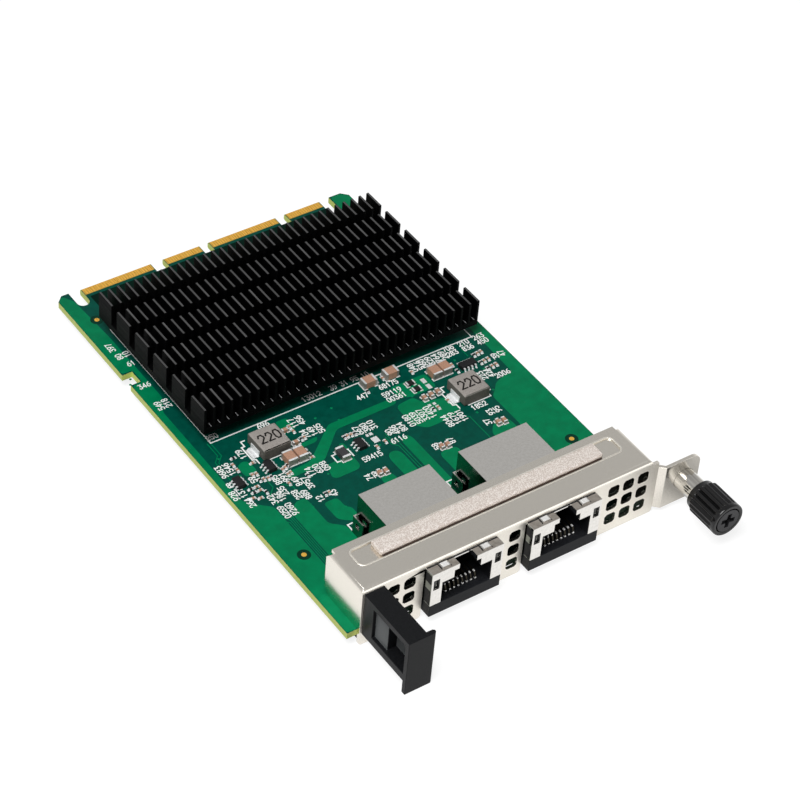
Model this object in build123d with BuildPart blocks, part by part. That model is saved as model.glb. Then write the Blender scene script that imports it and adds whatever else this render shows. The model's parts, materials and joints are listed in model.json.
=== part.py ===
import math
import os

from build123d import *

os.makedirs("parts", exist_ok=True)

# The frame's origin is the middle of the card edge, halfway through the board.
# +X is right as seen from the faceplate, +Y is the way the card is pushed in, +Z is the component side.

# Clearances
running_clearance = 0.08
moving_gap = 0.35
assembly_gap = 0.05
jack_gap = 0.15

# Card edge: four tongues of contacts between two horns
left_horn = 3.3
right_horn = 4.64
contact_pitch = 0.6
contact_width = 0.42
contact_length = 1.75
contact_thickness = 0.05
contact_setback = 0.35
tongue_contact_counts = (28, 14, 28, 14)
tongue_margin = 0.47
left_horn_gap = 2.9
tongue_gaps = (3.2, 2.4, 2.6, 2.8)
key_depth = 5.3
horn_chamfer = 1.5
bevel_length = 0.3
bevel_drop = 0.25
contact_total = sum(tongue_contact_counts)
tongue_total = contact_total * contact_pitch + 2 * tongue_margin * len(tongue_contact_counts)

# Network jacks along the front edge and the strip of small parts behind them
jack_width = 17.2
jack_spacing = 7.2
jack_x = (jack_width + jack_spacing) / 2
jack_edge_x = jack_x + jack_width / 2
jack_length = 26.0
jack_overhang = 3.2
component_strip = 35.75

# Circuit board: its width follows the card edge, its length follows what stands on it
board_width = left_horn + left_horn_gap + tongue_total + sum(tongue_gaps) + right_horn
first_tongue_x = left_horn + left_horn_gap - board_width / 2
board_thickness = 1.57
top_z = board_thickness / 2
under_z = -board_thickness / 2
edge_notch_depth = 2.4
edge_notch_length = 3.6
edge_notch_y = -30.7

# Heat sink: an extrusion cut across into rows of fins
sink_inset = 3.3
fin_count = 33
fin_thickness = 0.6
fin_height = 5.2
fin_length = 5.35
row_pitch = 7.55
row_count = 6
sink_base = 1.5
sink_lift = 3.5
sink_rear_margin = 13.35
sink_width = board_width - 2 * sink_inset
fin_pitch = (sink_width - fin_thickness) / (fin_count - 1)
sink_length = (row_count - 1) * row_pitch + fin_length
sink_y = -sink_rear_margin - sink_length / 2
sink_front_y = -sink_rear_margin - sink_length
sink_z = top_z + sink_lift
foot_side = 4.0
foot_inset = 4.0
foot_spacing_x = sink_width - foot_side - 2 * foot_inset
foot_spacing_y = sink_length - foot_side - 2 * foot_inset
chip_side = 25.0
chip_height = 2.6
pad_margin = 0.5
jack_rear_y = sink_front_y - component_strip
jack_front_y = jack_rear_y - jack_length
front_y = jack_front_y + jack_overhang
board_length = -front_y

# Faceplate: one bent sheet
sheet = 0.8
bend_radius = 0.4
bend_outside = bend_radius + sheet
face_gap = 0.1
face_y = front_y - face_gap - sheet
plate_inset = 2.3
plate_width = board_width - 2 * plate_inset
plate_depth = 12.6
plate_rise = 11.2
plate_drop = 3.9
plate_top_z = top_z + plate_rise
plate_bottom_z = top_z - plate_drop
plate_rear_y = face_y + plate_depth
face_overhang = 1.5
face_right_x = plate_width / 2 + face_overhang
comb_corner = 0.5
wall_corner = 1.6
rear_chamfer = 1.3
recess_inset = 3.7
recess_length = plate_width - 2 * recess_inset
recess_width = 4.6
recess_depth = 0.25
recess_corner = 1.2
recess_y = face_y + 0.647 * plate_depth
plate_foot_length = 6.6
plate_foot_reach = 5.6
plate_foot_y = front_y + 6.2
plate_foot_x = plate_width / 2 - sheet - plate_foot_reach / 2
lip_depth = 4.0
lip_width = 10.6
lip_x = (plate_width / 2 + jack_edge_x) / 2 + 1.35
comb_top_z = plate_top_z - bend_outside
vent_size = 2.75
vent_corner = 0.5
vent_pitch_x = 3.8
vent_pitch_z = 3.9
vent_mid_z = top_z + 3.7
left_vents_x = -jack_edge_x - 5.5
middle_vents_x = 0.9
right_vents_x = jack_edge_x + 8.75
vent_column_counts = (2, 1, 3)
vent_row_count = 3

# Gasket strip on the top flange
gasket_inset = 4.8
gasket_length = recess_length - 2 * gasket_inset
gasket_width = 4.0
gasket_height = 1.2
gasket_edge = 0.35

# Ear and captive thumbscrew
ear_jog = 1.2
ear_reach = 10.3
ear_right_x = face_right_x + ear_reach
ear_top_z = top_z + 8.7
ear_bottom_z = top_z - 2.6
ear_corner = 2.2
ear_y = face_y - ear_jog
jog_shift = sheet * 0.414
screw_x = face_right_x + 6.4
screw_z = top_z + 3.5
sleeve_radius = 2.5
sleeve_length = 5.9
shank_radius = 1.48
shank_groove_radius = 1.15
washer_radius = 2.6
washer_thickness = 0.8
washer_slit = 0.5
knob_radius = 3.9
knob_core_radius = 3.55
knob_collar_radius = 3.4
knob_collar = 1.3
knob_rim = 0.8
knob_rib_width = 0.55
knob_rib_count = 18
knob_spare = 1.65
knob_stand = 5.2
knob_travel = 4.8
knob_bore_radius = sleeve_radius + moving_gap
screw_head_radius = knob_bore_radius - assembly_gap
screw_head_depth = 1.8
screw_tip_reach = 1.5
recess_arm = 1.05
recess_span = 3.5
recess_cut = 1.1
recess_turn = 80.0
sleeve_bore_radius = shank_radius + running_clearance
sleeve_end_y = ear_y - sleeve_length
sleeve_rear_y = ear_y + sheet
washer_y = sleeve_rear_y + moving_gap
washer_rear_y = washer_y + washer_thickness
screw_tip_y = washer_rear_y + screw_tip_reach
knob_back_y = ear_y - knob_stand
knob_bore_depth = knob_back_y - sleeve_end_y + knob_travel + moving_gap
knob_length = knob_bore_depth + knob_spare + screw_head_depth
knob_front_y = knob_back_y - knob_length
head_seat_y = knob_front_y + screw_head_depth

# Pull tab: one moulding on the left of the faceplate
tab_left_x = 0.5 - plate_width / 2
tab_neck_width = 4.7
tab_neck_length = 14.0
tab_neck_top_z = top_z + 10.3
tab_neck_bottom_z = top_z - 0.8
tab_plate_width = 6.5
tab_plate_thickness = 1.1
tab_plate_bottom_z = top_z - 4.0
tab_root = 3.3
tab_step = 7.5
tab_pocket_top_z = top_z + 8.9
tab_pocket_bottom_z = top_z + 1.2
tab_shallow = 0.8
tab_deep = 3.0
tab_pocket_end = 10.0
tab_pocket_z = (tab_pocket_top_z + tab_pocket_bottom_z) / 2
tab_pocket_height = tab_pocket_top_z - tab_pocket_bottom_z
tab_plate_edge = 0.4
peg_width = 2.2
peg_height = 3.4
peg_x = tab_left_x + 2.8
peg_z = top_z + 4.8
peg_barb = 0.5
peg_barb_length = 1.2
peg_slit = 0.9

# Each jack, sunk into a cut-out in the board's front edge
jack_top_z = top_z + 9.8
jack_bottom_z = top_z - 1.95
jack_base_z = top_z + 1.1
jack_cut_depth = 14.0
jack_cut_width = jack_width + 2 * jack_gap
shield_sheet = 0.3
side_wall = 2.25
socket_width = jack_width - 2 * (shield_sheet + assembly_gap + side_wall)
socket_top_z = top_z + 6.6
socket_step_width = 6.4
socket_step_z = top_z + 8.5
latch_width = 4.2
socket_rear_y = front_y + 9.3
jack_inner_y = front_y + 9.8
wire_count = 8
wire_pitch = 1.02
wire_width = 0.45
wire_thickness = 0.25
wire_rise = 0.95
wire_front_y = front_y - 1.3
window_x = socket_width / 2 + 0.62 * side_wall
window_z = top_z + 6.65
window_width = 0.53 * side_wall
window_height = 2.4
pipe_length = 2.0
finger_width = 2.0
finger_length = 1.3
finger_x = 4.9
finger_y = jack_front_y + 1.3
latch_reach = 2.0
face_cut_width = jack_width + 2 * jack_gap + 0.2
face_cut_top_z = jack_top_z + jack_gap
leg_gap = 0.7
leg_length = 3.4
leg_height = 4.6
leg_y = jack_rear_y - 1.9
leg_window = 1.2
leg_top_z = top_z + leg_height

# Small board parts: length, width, height, end-cap length
large_part = (3.2, 2.2, 1.7, 0.5)
small_part = (1.6, 0.85, 0.8, 0.35)
dark_part = (2.0, 1.25, 0.6, 0.35)
grey_part = (3.4, 1.9, 1.3, 0.55)
inductor_side = 6.6
inductor_height = 2.8
inductor_chamfer = 0.3
inductor_lift = 0.15
terminal_width = 3.2
terminal_height = 1.5
terminal_thickness = 0.25
terminal_foot = 1.1
# Places on the board: x, distance ahead of the heat sink, turn
inductor_places = ((-22.9, 6.65), (22.6, 13.95))
large_places = (
    (-21.5, 12.35, 90),
    (-18.9, 12.35, 90),
    (19.6, 5.65, 90),
    (22.2, 5.65, 90),
    (5.6, 1.15, 0),
    (11.2, 1.15, 0),
)
small_places = (
    (-17.6, 4.45, 0),
    (-17.6, 8.65, 0),
    (13.4, 10.95, 90),
    (15.2, 10.85, 90),
    (17.0, 10.75, 90),
    (22.6, 24.95, 90),
    (24.0, 25.15, 90),
    (8.0, 24.95, 90),
    (9.4, 25.15, 90),
    (-7.6, 24.95, 90),
    (-6.2, 25.15, 90),
)
dark_places = ((13.4, 5.55, 0), (13.6, 7.75, 0))
grey_places = ((-11.2, 16.65, 90),)

# Small packaged chips: x, distance ahead of the heat sink, turn, length
chip_places = (
    (-34.2, 12.95, 90, 2.9),
    (-26.2, 12.05, 90, 2.9),
    (-6.4, 15.95, 90, 2.9),
    (27.4, 6.95, 0, 3.8),
)
small_chip_width = 1.7
small_chip_height = 1.1


def board_point(x, distance):
    """Point on the board: x across, distance ahead of the heat sink's front row."""
    return (x, sink_front_y - distance)


def save(builder, name):
    """Name the finished piece and write it out."""
    builder.part.label = name
    export_step(builder.part, "parts/" + name + ".step")


# Tongues and the gaps beside them, worked out from the contact counts
tongues = []
key_gaps = [(first_tongue_x - left_horn_gap, first_tongue_x)]
tongue_left = first_tongue_x
for contact_count, gap_width in zip(tongue_contact_counts, tongue_gaps):
    tongue_width = contact_count * contact_pitch + 2 * tongue_margin
    tongue_right = tongue_left + tongue_width
    tongues.append((tongue_left + tongue_width / 2, contact_count))
    key_gaps.append((tongue_right, tongue_right + gap_width))
    tongue_left = tongue_right + gap_width
last_tongue_x = key_gaps[-1][0]

# Circuit board
with BuildPart() as circuit_board:
    with BuildSketch(Plane.XY.offset(under_z)) as board_outline:
        with Locations((0, front_y / 2)):
            Rectangle(board_width, board_length)
        chamfer(board_outline.vertices().group_by(Axis.Y)[-1], horn_chamfer)
        for gap_left, gap_right in key_gaps:
            gap_width = gap_right - gap_left
            gap_middle = (gap_left + gap_right) / 2
            with Locations((gap_middle, -(key_depth - gap_width / 2) / 2)):
                Rectangle(gap_width, key_depth - gap_width / 2, mode=Mode.SUBTRACT)
            with Locations((gap_middle, gap_width / 2 - key_depth)):
                Circle(gap_width / 2, mode=Mode.SUBTRACT)
        with Locations((-board_width / 2, edge_notch_y)):
            Rectangle(2 * edge_notch_depth, edge_notch_length, mode=Mode.SUBTRACT)
        with Locations((-jack_x, front_y), (jack_x, front_y)):
            Rectangle(jack_cut_width, 2 * jack_cut_depth, mode=Mode.SUBTRACT)
    extrude(amount=board_thickness)
    with BuildSketch(Plane.YZ.offset(first_tongue_x)):
        with BuildLine():
            Polyline((0, top_z), (0, top_z - bevel_drop), (-bevel_length, top_z), close=True)
        make_face()
        with BuildLine():
            Polyline((0, under_z), (0, under_z + bevel_drop), (-bevel_length, under_z), close=True)
        make_face()
    extrude(amount=last_tongue_x - first_tongue_x, mode=Mode.SUBTRACT)
save(circuit_board, "circuit_board")


def contact_row(height, name):
    """One face's row of edge contacts, thin plated pads lying on the tongues."""
    with BuildPart() as row:
        with BuildSketch(Plane.XY.offset(height)):
            for tongue_middle, contact_count in tongues:
                with Locations((tongue_middle, -contact_setback - contact_length / 2)):
                    with GridLocations(contact_pitch, 0, contact_count, 1):
                        Rectangle(contact_width, contact_length)
        extrude(amount=contact_thickness)
    save(row, name)


contact_row(top_z, "edge_contacts_top")
contact_row(under_z - contact_thickness, "edge_contacts_under")

# Heat sink, standing on four square feet set in from its corners
with BuildPart() as heat_sink:
    with BuildSketch(Plane.XY.offset(sink_z)):
        with Locations((0, sink_y)):
            Rectangle(sink_width, sink_length)
    extrude(amount=sink_base)
    with BuildSketch(Plane.XY.offset(sink_z + sink_base)):
        with Locations((0, sink_y)):
            with GridLocations(fin_pitch, row_pitch, fin_count, row_count):
                Rectangle(fin_thickness, fin_length)
    extrude(amount=fin_height)
    with BuildSketch(Plane.XY.offset(top_z)):
        with Locations((0, sink_y)):
            with GridLocations(foot_spacing_x, foot_spacing_y, 2, 2):
                Rectangle(foot_side, foot_side)
    extrude(amount=sink_lift)
save(heat_sink, "heat_sink")

# Controller chip and the pad that carries its heat to the sink
with BuildPart() as controller_chip:
    with BuildSketch(Plane.XY.offset(top_z)):
        with Locations((0, sink_y)):
            Rectangle(chip_side, chip_side)
    extrude(amount=chip_height)
save(controller_chip, "controller_chip")

with BuildPart() as thermal_pad:
    with BuildSketch(Plane.XY.offset(top_z + chip_height)):
        with Locations((0, sink_y)):
            Rectangle(chip_side - 2 * pad_margin, chip_side - 2 * pad_margin)
    extrude(amount=sink_lift - chip_height)
save(thermal_pad, "thermal_pad")

# Faceplate: rolled box corner first, then the front comb, vents, recess, feet, lips and ear
vent_half = vent_size / 2
vent_flat = vent_half - vent_corner
vent_outline = []
for turn_x, turn_z in ((1, 1), (-1, 1), (-1, -1), (1, -1)):
    corner = [(turn_x * vent_half, turn_z * vent_flat), (turn_x * vent_flat, turn_z * vent_half)]
    vent_outline.extend(corner if turn_x == turn_z else corner[::-1])
with BuildPart() as faceplate:
    with BuildSketch(Plane.XY.offset(top_z)):
        with Locations((0, face_y + plate_depth / 2)):
            Rectangle(plate_width, plate_depth)
    extrude(amount=plate_rise)
    fillet(faceplate.edges().group_by(Axis.Z)[-1].sort_by(Axis.Y)[:-1], bend_outside)
    chamfer(faceplate.edges().filter_by(Axis.X).group_by(Axis.Y)[-1].sort_by(Axis.Z)[0], wall_corner)
    with BuildSketch(Plane.XY.offset(top_z)):
        with Locations((0, face_y + sheet + plate_depth / 2)):
            Rectangle(plate_width - 2 * sheet, plate_depth)
    extrude(amount=plate_rise - sheet, mode=Mode.SUBTRACT)
    for wall_x in (-plate_width / 2, plate_width / 2 - bend_outside):
        with BuildSketch(Plane.YZ.offset(wall_x)):
            with BuildLine():
                Polyline(
                    (plate_rear_y - rear_chamfer, plate_top_z),
                    (plate_rear_y, plate_top_z),
                    (plate_rear_y, plate_top_z - rear_chamfer),
                    close=True,
                )
            make_face()
        extrude(amount=bend_outside, mode=Mode.SUBTRACT)
    with BuildSketch(Plane.XZ.offset(-face_y)) as comb:
        with Locations(((face_right_x - plate_width / 2) / 2, (plate_bottom_z + comb_top_z) / 2)):
            Rectangle(face_right_x + plate_width / 2, comb_top_z - plate_bottom_z)
        with Locations((-jack_x, plate_bottom_z), (jack_x, plate_bottom_z)):
            Rectangle(face_cut_width, 2 * (face_cut_top_z - plate_bottom_z), mode=Mode.SUBTRACT)
        chamfer(comb.vertices().group_by(Axis.Y)[0], comb_corner)
    extrude(amount=-sheet)
    with BuildSketch(Plane.XZ.offset(-face_y)):
        with Locations((-jack_x, plate_bottom_z), (jack_x, plate_bottom_z)):
            Rectangle(face_cut_width, 2 * (face_cut_top_z - plate_bottom_z))
        for group_x, column_count in zip((left_vents_x, middle_vents_x, right_vents_x), vent_column_counts):
            with Locations((group_x, vent_mid_z)):
                with GridLocations(vent_pitch_x, vent_pitch_z, column_count, vent_row_count):
                    Polygon(*vent_outline)
        with Locations((peg_x, peg_z)):
            Rectangle(peg_width + 2 * assembly_gap, peg_height + 2 * assembly_gap)
    extrude(amount=-sheet, mode=Mode.SUBTRACT)
    with BuildSketch(Plane.XY.offset(plate_top_z - recess_depth)):
        with Locations((0, recess_y)):
            RectangleRounded(recess_length, recess_width, recess_corner)
    extrude(amount=recess_depth, mode=Mode.SUBTRACT)
    with BuildSketch(Plane.XY.offset(top_z)):
        with Locations((-plate_foot_x, plate_foot_y), (plate_foot_x, plate_foot_y)):
            Rectangle(plate_foot_reach, plate_foot_length)
    extrude(amount=sheet)
    with BuildSketch(Plane.XY.offset(plate_bottom_z)):
        with Locations((-lip_x, face_y + sheet + lip_depth / 2), (lip_x, face_y + sheet + lip_depth / 2)):
            Rectangle(lip_width, lip_depth)
    extrude(amount=sheet)
    with BuildSketch(Plane.XY.offset(ear_bottom_z)):
        with BuildLine():
            Polyline(
                (face_right_x - sheet, face_y),
                (face_right_x, face_y),
                (face_right_x + ear_jog, ear_y),
                (ear_right_x, ear_y),
                (ear_right_x, ear_y + sheet),
                (face_right_x + ear_jog + jog_shift, ear_y + sheet),
                (face_right_x + jog_shift, face_y + sheet),
                (face_right_x - sheet, face_y + sheet),
                close=True,
            )
        make_face()
    extrude(amount=ear_top_z - ear_bottom_z)
    fillet(faceplate.edges().filter_by(Axis.Y).group_by(Axis.X)[-1], ear_corner)
    with BuildSketch(Plane.XZ.offset(-ear_y)):
        with Locations((screw_x, screw_z)):
            Circle(sleeve_radius + assembly_gap)
    extrude(amount=-sheet, mode=Mode.SUBTRACT)
save(faceplate, "faceplate")

# Conductive gasket strip, stuck in the flange's recess
with BuildPart() as gasket_strip:
    with BuildSketch(Plane.XY.offset(plate_top_z - recess_depth)):
        with Locations((0, recess_y)):
            Rectangle(gasket_length, gasket_width)
    extrude(amount=gasket_height)
    chamfer(gasket_strip.edges().group_by(Axis.Z)[-1].filter_by(Axis.X), gasket_edge)
save(gasket_strip, "gasket_strip")

# Pull tab with its stepped side pocket and the split peg that snaps through the faceplate
with BuildPart() as pull_tab:
    with BuildSketch(Plane.XZ.offset(-face_y)):
        with Locations((tab_left_x + tab_neck_width / 2, (tab_neck_top_z + tab_neck_bottom_z) / 2)):
            Rectangle(tab_neck_width, tab_neck_top_z - tab_neck_bottom_z)
    extrude(amount=tab_neck_length)
    with BuildSketch(Plane.XZ.offset(tab_neck_length - face_y)):
        with Locations((tab_left_x + tab_plate_width / 2, (tab_neck_top_z + tab_plate_bottom_z) / 2)):
            Rectangle(tab_plate_width, tab_neck_top_z - tab_plate_bottom_z)
    extrude(amount=tab_plate_thickness)
    chamfer(pull_tab.edges().filter_by(Axis.Z).group_by(Axis.X)[-1], tab_plate_edge)
    with BuildSketch(Plane.YZ.offset(tab_left_x)):
        with Locations((face_y - (tab_root + tab_pocket_end) / 2, tab_pocket_z)):
            Rectangle(tab_pocket_end - tab_root, tab_pocket_height)
    extrude(amount=tab_shallow, mode=Mode.SUBTRACT)
    with BuildSketch(Plane.YZ.offset(tab_left_x)):
        with Locations((face_y - (tab_step + tab_neck_length) / 2, tab_pocket_z)):
            Rectangle(tab_neck_length - tab_step, tab_pocket_height)
    extrude(amount=tab_deep, mode=Mode.SUBTRACT)
    with BuildSketch(Plane.XZ.offset(-face_y)):
        with Locations((peg_x, peg_z)):
            Rectangle(peg_width, peg_height)
            Rectangle(peg_width, peg_slit, mode=Mode.SUBTRACT)
    extrude(amount=-sheet)
    with BuildSketch(Plane.XZ.offset(-face_y - sheet)):
        with Locations((peg_x, peg_z)):
            Rectangle(peg_width, peg_height + 2 * peg_barb)
            Rectangle(peg_width, peg_slit, mode=Mode.SUBTRACT)
    extrude(amount=-peg_barb_length)
save(pull_tab, "pull_tab")

# Captive thumbscrew: sleeve pressed into the ear, knob on the screw, split washer behind the ear
screw_axis = Axis((screw_x, 0, screw_z), (0, 1, 0))


def turned(profile, name, slit=0.0):
    """Turn a profile of (y, radius) points about the thumbscrew's axis, with a slit if one is given."""
    with BuildPart() as piece:
        with BuildSketch(Plane.YZ.offset(screw_x)):
            with BuildLine():
                Polyline(*[(y, screw_z + radius) for y, radius in profile], close=True)
            make_face()
        revolve(axis=screw_axis)
        if slit > 0:
            first_y = profile[0][0]
            with BuildSketch(Plane.XZ.offset(-first_y)):
                with Locations((screw_x, screw_z - knob_radius / 2)):
                    Rectangle(slit, knob_radius)
            extrude(amount=-washer_thickness, mode=Mode.SUBTRACT)
    save(piece, name)


turned(
    (
        (sleeve_end_y, sleeve_bore_radius),
        (sleeve_end_y, sleeve_radius),
        (sleeve_rear_y, sleeve_radius),
        (sleeve_rear_y, sleeve_bore_radius),
    ),
    "screw_sleeve",
)
turned(
    (
        (washer_y, shank_groove_radius + running_clearance),
        (washer_y, washer_radius),
        (washer_y + washer_thickness, washer_radius),
        (washer_y + washer_thickness, shank_groove_radius + running_clearance),
    ),
    "retaining_washer",
    washer_slit,
)

with BuildPart() as thumbscrew:
    with BuildSketch(Plane.YZ.offset(screw_x)):
        with BuildLine():
            Polyline(
                (knob_front_y, screw_z),
                (knob_front_y, screw_z + screw_head_radius),
                (head_seat_y, screw_z + screw_head_radius),
                (head_seat_y, screw_z + shank_radius),
                (washer_y - running_clearance, screw_z + shank_radius),
                (washer_y - running_clearance, screw_z + shank_groove_radius),
                (washer_rear_y + running_clearance, screw_z + shank_groove_radius),
                (washer_rear_y + running_clearance, screw_z + shank_radius),
                (screw_tip_y, screw_z + shank_radius),
                (screw_tip_y, screw_z),
                close=True,
            )
        make_face()
    revolve(axis=screw_axis)
    with BuildSketch(Plane.XZ.offset(-knob_front_y)):
        with Locations((screw_x, screw_z)):
            Rectangle(recess_span, recess_arm, rotation=recess_turn)
            Rectangle(recess_arm, recess_span, rotation=recess_turn)
    extrude(amount=-recess_cut, mode=Mode.SUBTRACT)
save(thumbscrew, "thumbscrew")

# Knob: a ribbed tube with a plain rim, pressed over the screw's head
rim_outline = []
for rib in range(knob_rib_count):
    rib_turn = 360 / knob_rib_count * rib
    half_core = math.degrees(math.asin(knob_rib_width / 2 / knob_core_radius))
    half_tip = math.degrees(math.asin(knob_rib_width / 2 / knob_radius))
    for reach, swing in (
        (knob_core_radius, -half_core),
        (knob_radius, -half_tip),
        (knob_radius, half_tip),
        (knob_core_radius, half_core),
    ):
        angle = math.radians(rib_turn + swing)
        rim_outline.append((reach * math.cos(angle), reach * math.sin(angle)))
with BuildPart() as thumbscrew_knob:
    with BuildSketch(Plane.XZ.offset(-knob_back_y)):
        with Locations((screw_x, screw_z)):
            Circle(knob_collar_radius)
    extrude(amount=knob_collar)
    with BuildSketch(Plane.XZ.offset(knob_collar - knob_back_y)):
        with Locations((screw_x, screw_z)):
            Polygon(*rim_outline, align=None)
    extrude(amount=knob_length - knob_collar - knob_rim)
    with BuildSketch(Plane.XZ.offset(knob_length - knob_rim - knob_back_y)):
        with Locations((screw_x, screw_z)):
            Circle(knob_radius)
    extrude(amount=knob_rim)
    with BuildSketch(Plane.XZ.offset(-knob_back_y)):
        with Locations((screw_x, screw_z)):
            Circle(knob_bore_radius)
    extrude(amount=knob_length, mode=Mode.SUBTRACT)
save(thumbscrew_knob, "thumbscrew_knob")


def network_jack(centre_x, side_name):
    """One shielded jack: housing, shield, contact wires, light pipes and potted magnetics."""
    inside_width = jack_width - 2 * shield_sheet - 2 * assembly_gap
    inside_top_z = jack_top_z - shield_sheet - assembly_gap
    inside_front_y = jack_front_y + shield_sheet + assembly_gap
    base_end_y = front_y + jack_cut_depth - jack_gap
    with BuildPart() as housing:
        with BuildSketch(Plane.XY.offset(jack_bottom_z)):
            with Locations((centre_x, (jack_front_y + base_end_y) / 2)):
                Rectangle(jack_width, base_end_y - jack_front_y)
        extrude(amount=jack_base_z - jack_bottom_z)
        with BuildSketch(Plane.XY.offset(top_z)):
            with Locations((centre_x, (base_end_y + jack_rear_y) / 2)):
                Rectangle(jack_width, jack_rear_y - base_end_y)
        extrude(amount=jack_base_z - top_z)
        with BuildSketch(Plane.XY.offset(jack_base_z)):
            with Locations((centre_x, (inside_front_y + jack_inner_y) / 2)):
                Rectangle(inside_width, jack_inner_y - inside_front_y)
        extrude(amount=inside_top_z - jack_base_z)
        with BuildSketch(Plane.XZ.offset(-inside_front_y)):
            with Locations((centre_x, (jack_base_z + socket_top_z) / 2)):
                Rectangle(socket_width, socket_top_z - jack_base_z)
            with Locations((centre_x, (socket_top_z + socket_step_z) / 2)):
                Rectangle(socket_step_width, socket_step_z - socket_top_z)
            with Locations((centre_x, (socket_step_z + inside_top_z) / 2)):
                Rectangle(latch_width, inside_top_z - socket_step_z)
        extrude(amount=inside_front_y - socket_rear_y, mode=Mode.SUBTRACT)
        with BuildSketch(Plane.XZ.offset(-inside_front_y)):
            with Locations((centre_x - window_x, window_z), (centre_x + window_x, window_z)):
                Rectangle(window_width, window_height)
        extrude(amount=-pipe_length, mode=Mode.SUBTRACT)
    save(housing, side_name + "_jack_housing")
    with BuildPart() as shield:
        with BuildSketch(Plane.XY.offset(jack_base_z)):
            with Locations((centre_x, (jack_front_y + jack_rear_y) / 2)):
                Rectangle(jack_width, jack_rear_y - jack_front_y)
        extrude(amount=jack_top_z - jack_base_z)
        with BuildSketch(Plane.XY.offset(jack_base_z)):
            with Locations((centre_x, (jack_front_y + jack_rear_y) / 2)):
                Rectangle(jack_width - 2 * shield_sheet, jack_rear_y - jack_front_y - 2 * shield_sheet)
        extrude(amount=jack_top_z - jack_base_z - shield_sheet, mode=Mode.SUBTRACT)
        with BuildSketch(Plane.XZ.offset(-jack_front_y)):
            with Locations((centre_x, (jack_base_z + socket_top_z) / 2)):
                Rectangle(socket_width, socket_top_z - jack_base_z)
            with Locations((centre_x, (socket_top_z + socket_step_z) / 2)):
                Rectangle(socket_step_width, socket_step_z - socket_top_z)
            with Locations((centre_x, (socket_step_z + jack_top_z) / 2)):
                Rectangle(latch_width, jack_top_z - socket_step_z)
            with Locations((centre_x - window_x, window_z), (centre_x + window_x, window_z)):
                Rectangle(window_width, window_height)
        extrude(amount=-shield_sheet, mode=Mode.SUBTRACT)
        with BuildSketch(Plane.XY.offset(jack_top_z)):
            with Locations((centre_x, jack_front_y + latch_reach / 2)):
                Rectangle(latch_width, latch_reach)
        extrude(amount=-shield_sheet, mode=Mode.SUBTRACT)
        with BuildSketch(Plane.XY.offset(jack_top_z)):
            with Locations((centre_x - finger_x, finger_y), (centre_x + finger_x, finger_y)):
                Rectangle(finger_width, finger_length)
        extrude(amount=shield_sheet)
        for side in (-1, 1):
            wall_x = centre_x + side * jack_width / 2
            leg_x = wall_x + side * (leg_gap + shield_sheet / 2)
            with BuildSketch(Plane.XY.offset(jack_base_z)):
                with Locations((wall_x + side * leg_gap / 2, leg_y + leg_length / 2 - shield_sheet / 2)):
                    Rectangle(leg_gap, shield_sheet)
            extrude(amount=leg_top_z - jack_base_z)
            with BuildSketch(Plane.XY.offset(top_z)):
                with Locations((leg_x, leg_y)):
                    Rectangle(shield_sheet, leg_length)
            extrude(amount=leg_top_z - top_z)
            with BuildSketch(Plane.YZ.offset(leg_x - shield_sheet / 2)):
                with Locations((leg_y, (leg_top_z + jack_base_z) / 2)):
                    Rectangle(leg_window, leg_window)
            extrude(amount=shield_sheet, mode=Mode.SUBTRACT)
    save(shield, side_name + "_jack_shield")
    with BuildPart() as wires:
        for wire in range(wire_count):
            wire_x = centre_x + (wire - (wire_count - 1) / 2) * wire_pitch
            with BuildSketch(Plane.YZ.offset(wire_x - wire_width / 2)):
                with BuildLine():
                    Polyline(
                        (wire_front_y, jack_base_z),
                        (wire_front_y + 2 * wire_thickness, jack_base_z),
                        (socket_rear_y, jack_base_z + wire_rise),
                        (socket_rear_y, jack_base_z + wire_rise + wire_thickness),
                        (wire_front_y, jack_base_z + wire_thickness),
                        close=True,
                    )
                make_face()
            extrude(amount=wire_width)
    save(wires, side_name + "_jack_contacts")
    with BuildPart() as pipes:
        with BuildSketch(Plane.XZ.offset(-inside_front_y - pipe_length)):
            with Locations((centre_x - window_x, window_z), (centre_x + window_x, window_z)):
                Rectangle(window_width - 2 * assembly_gap, window_height - 2 * assembly_gap)
        extrude(amount=pipe_length + shield_sheet)
    save(pipes, side_name + "_jack_light_pipes")
    with BuildPart() as magnetics:
        with BuildSketch(Plane.XY.offset(jack_base_z)):
            with Locations((centre_x, (jack_inner_y + jack_rear_y - shield_sheet) / 2)):
                Rectangle(inside_width, jack_rear_y - shield_sheet - jack_inner_y - 2 * assembly_gap)
        extrude(amount=inside_top_z - jack_base_z)
    save(magnetics, side_name + "_jack_magnetics")


network_jack(-jack_x, "left")
network_jack(jack_x, "right")


def inductor(place, side_name):
    """One moulded power inductor and its two folded terminals."""
    x, y = board_point(*place)
    with BuildPart() as body:
        with BuildSketch(Plane.XY.offset(top_z + inductor_lift)):
            with Locations((x, y)):
                Rectangle(inductor_side, inductor_side)
        extrude(amount=inductor_height)
        chamfer(body.edges().group_by(Axis.Z)[-1], inductor_chamfer)
    save(body, side_name + "_inductor")
    with BuildPart() as terminals:
        for side in (-1, 1):
            wall_x = x + side * inductor_side / 2
            with BuildSketch(Plane.XY.offset(top_z)):
                with Locations((wall_x + side * terminal_foot / 2, y)):
                    Rectangle(terminal_foot, terminal_width)
            extrude(amount=terminal_thickness)
            with BuildSketch(Plane.XY.offset(top_z)):
                with Locations((wall_x + side * terminal_thickness / 2, y)):
                    Rectangle(terminal_thickness, terminal_width)
            extrude(amount=terminal_height)
    save(terminals, side_name + "_inductor_terminals")


inductor(inductor_places[0], "left")
inductor(inductor_places[1], "right")


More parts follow.
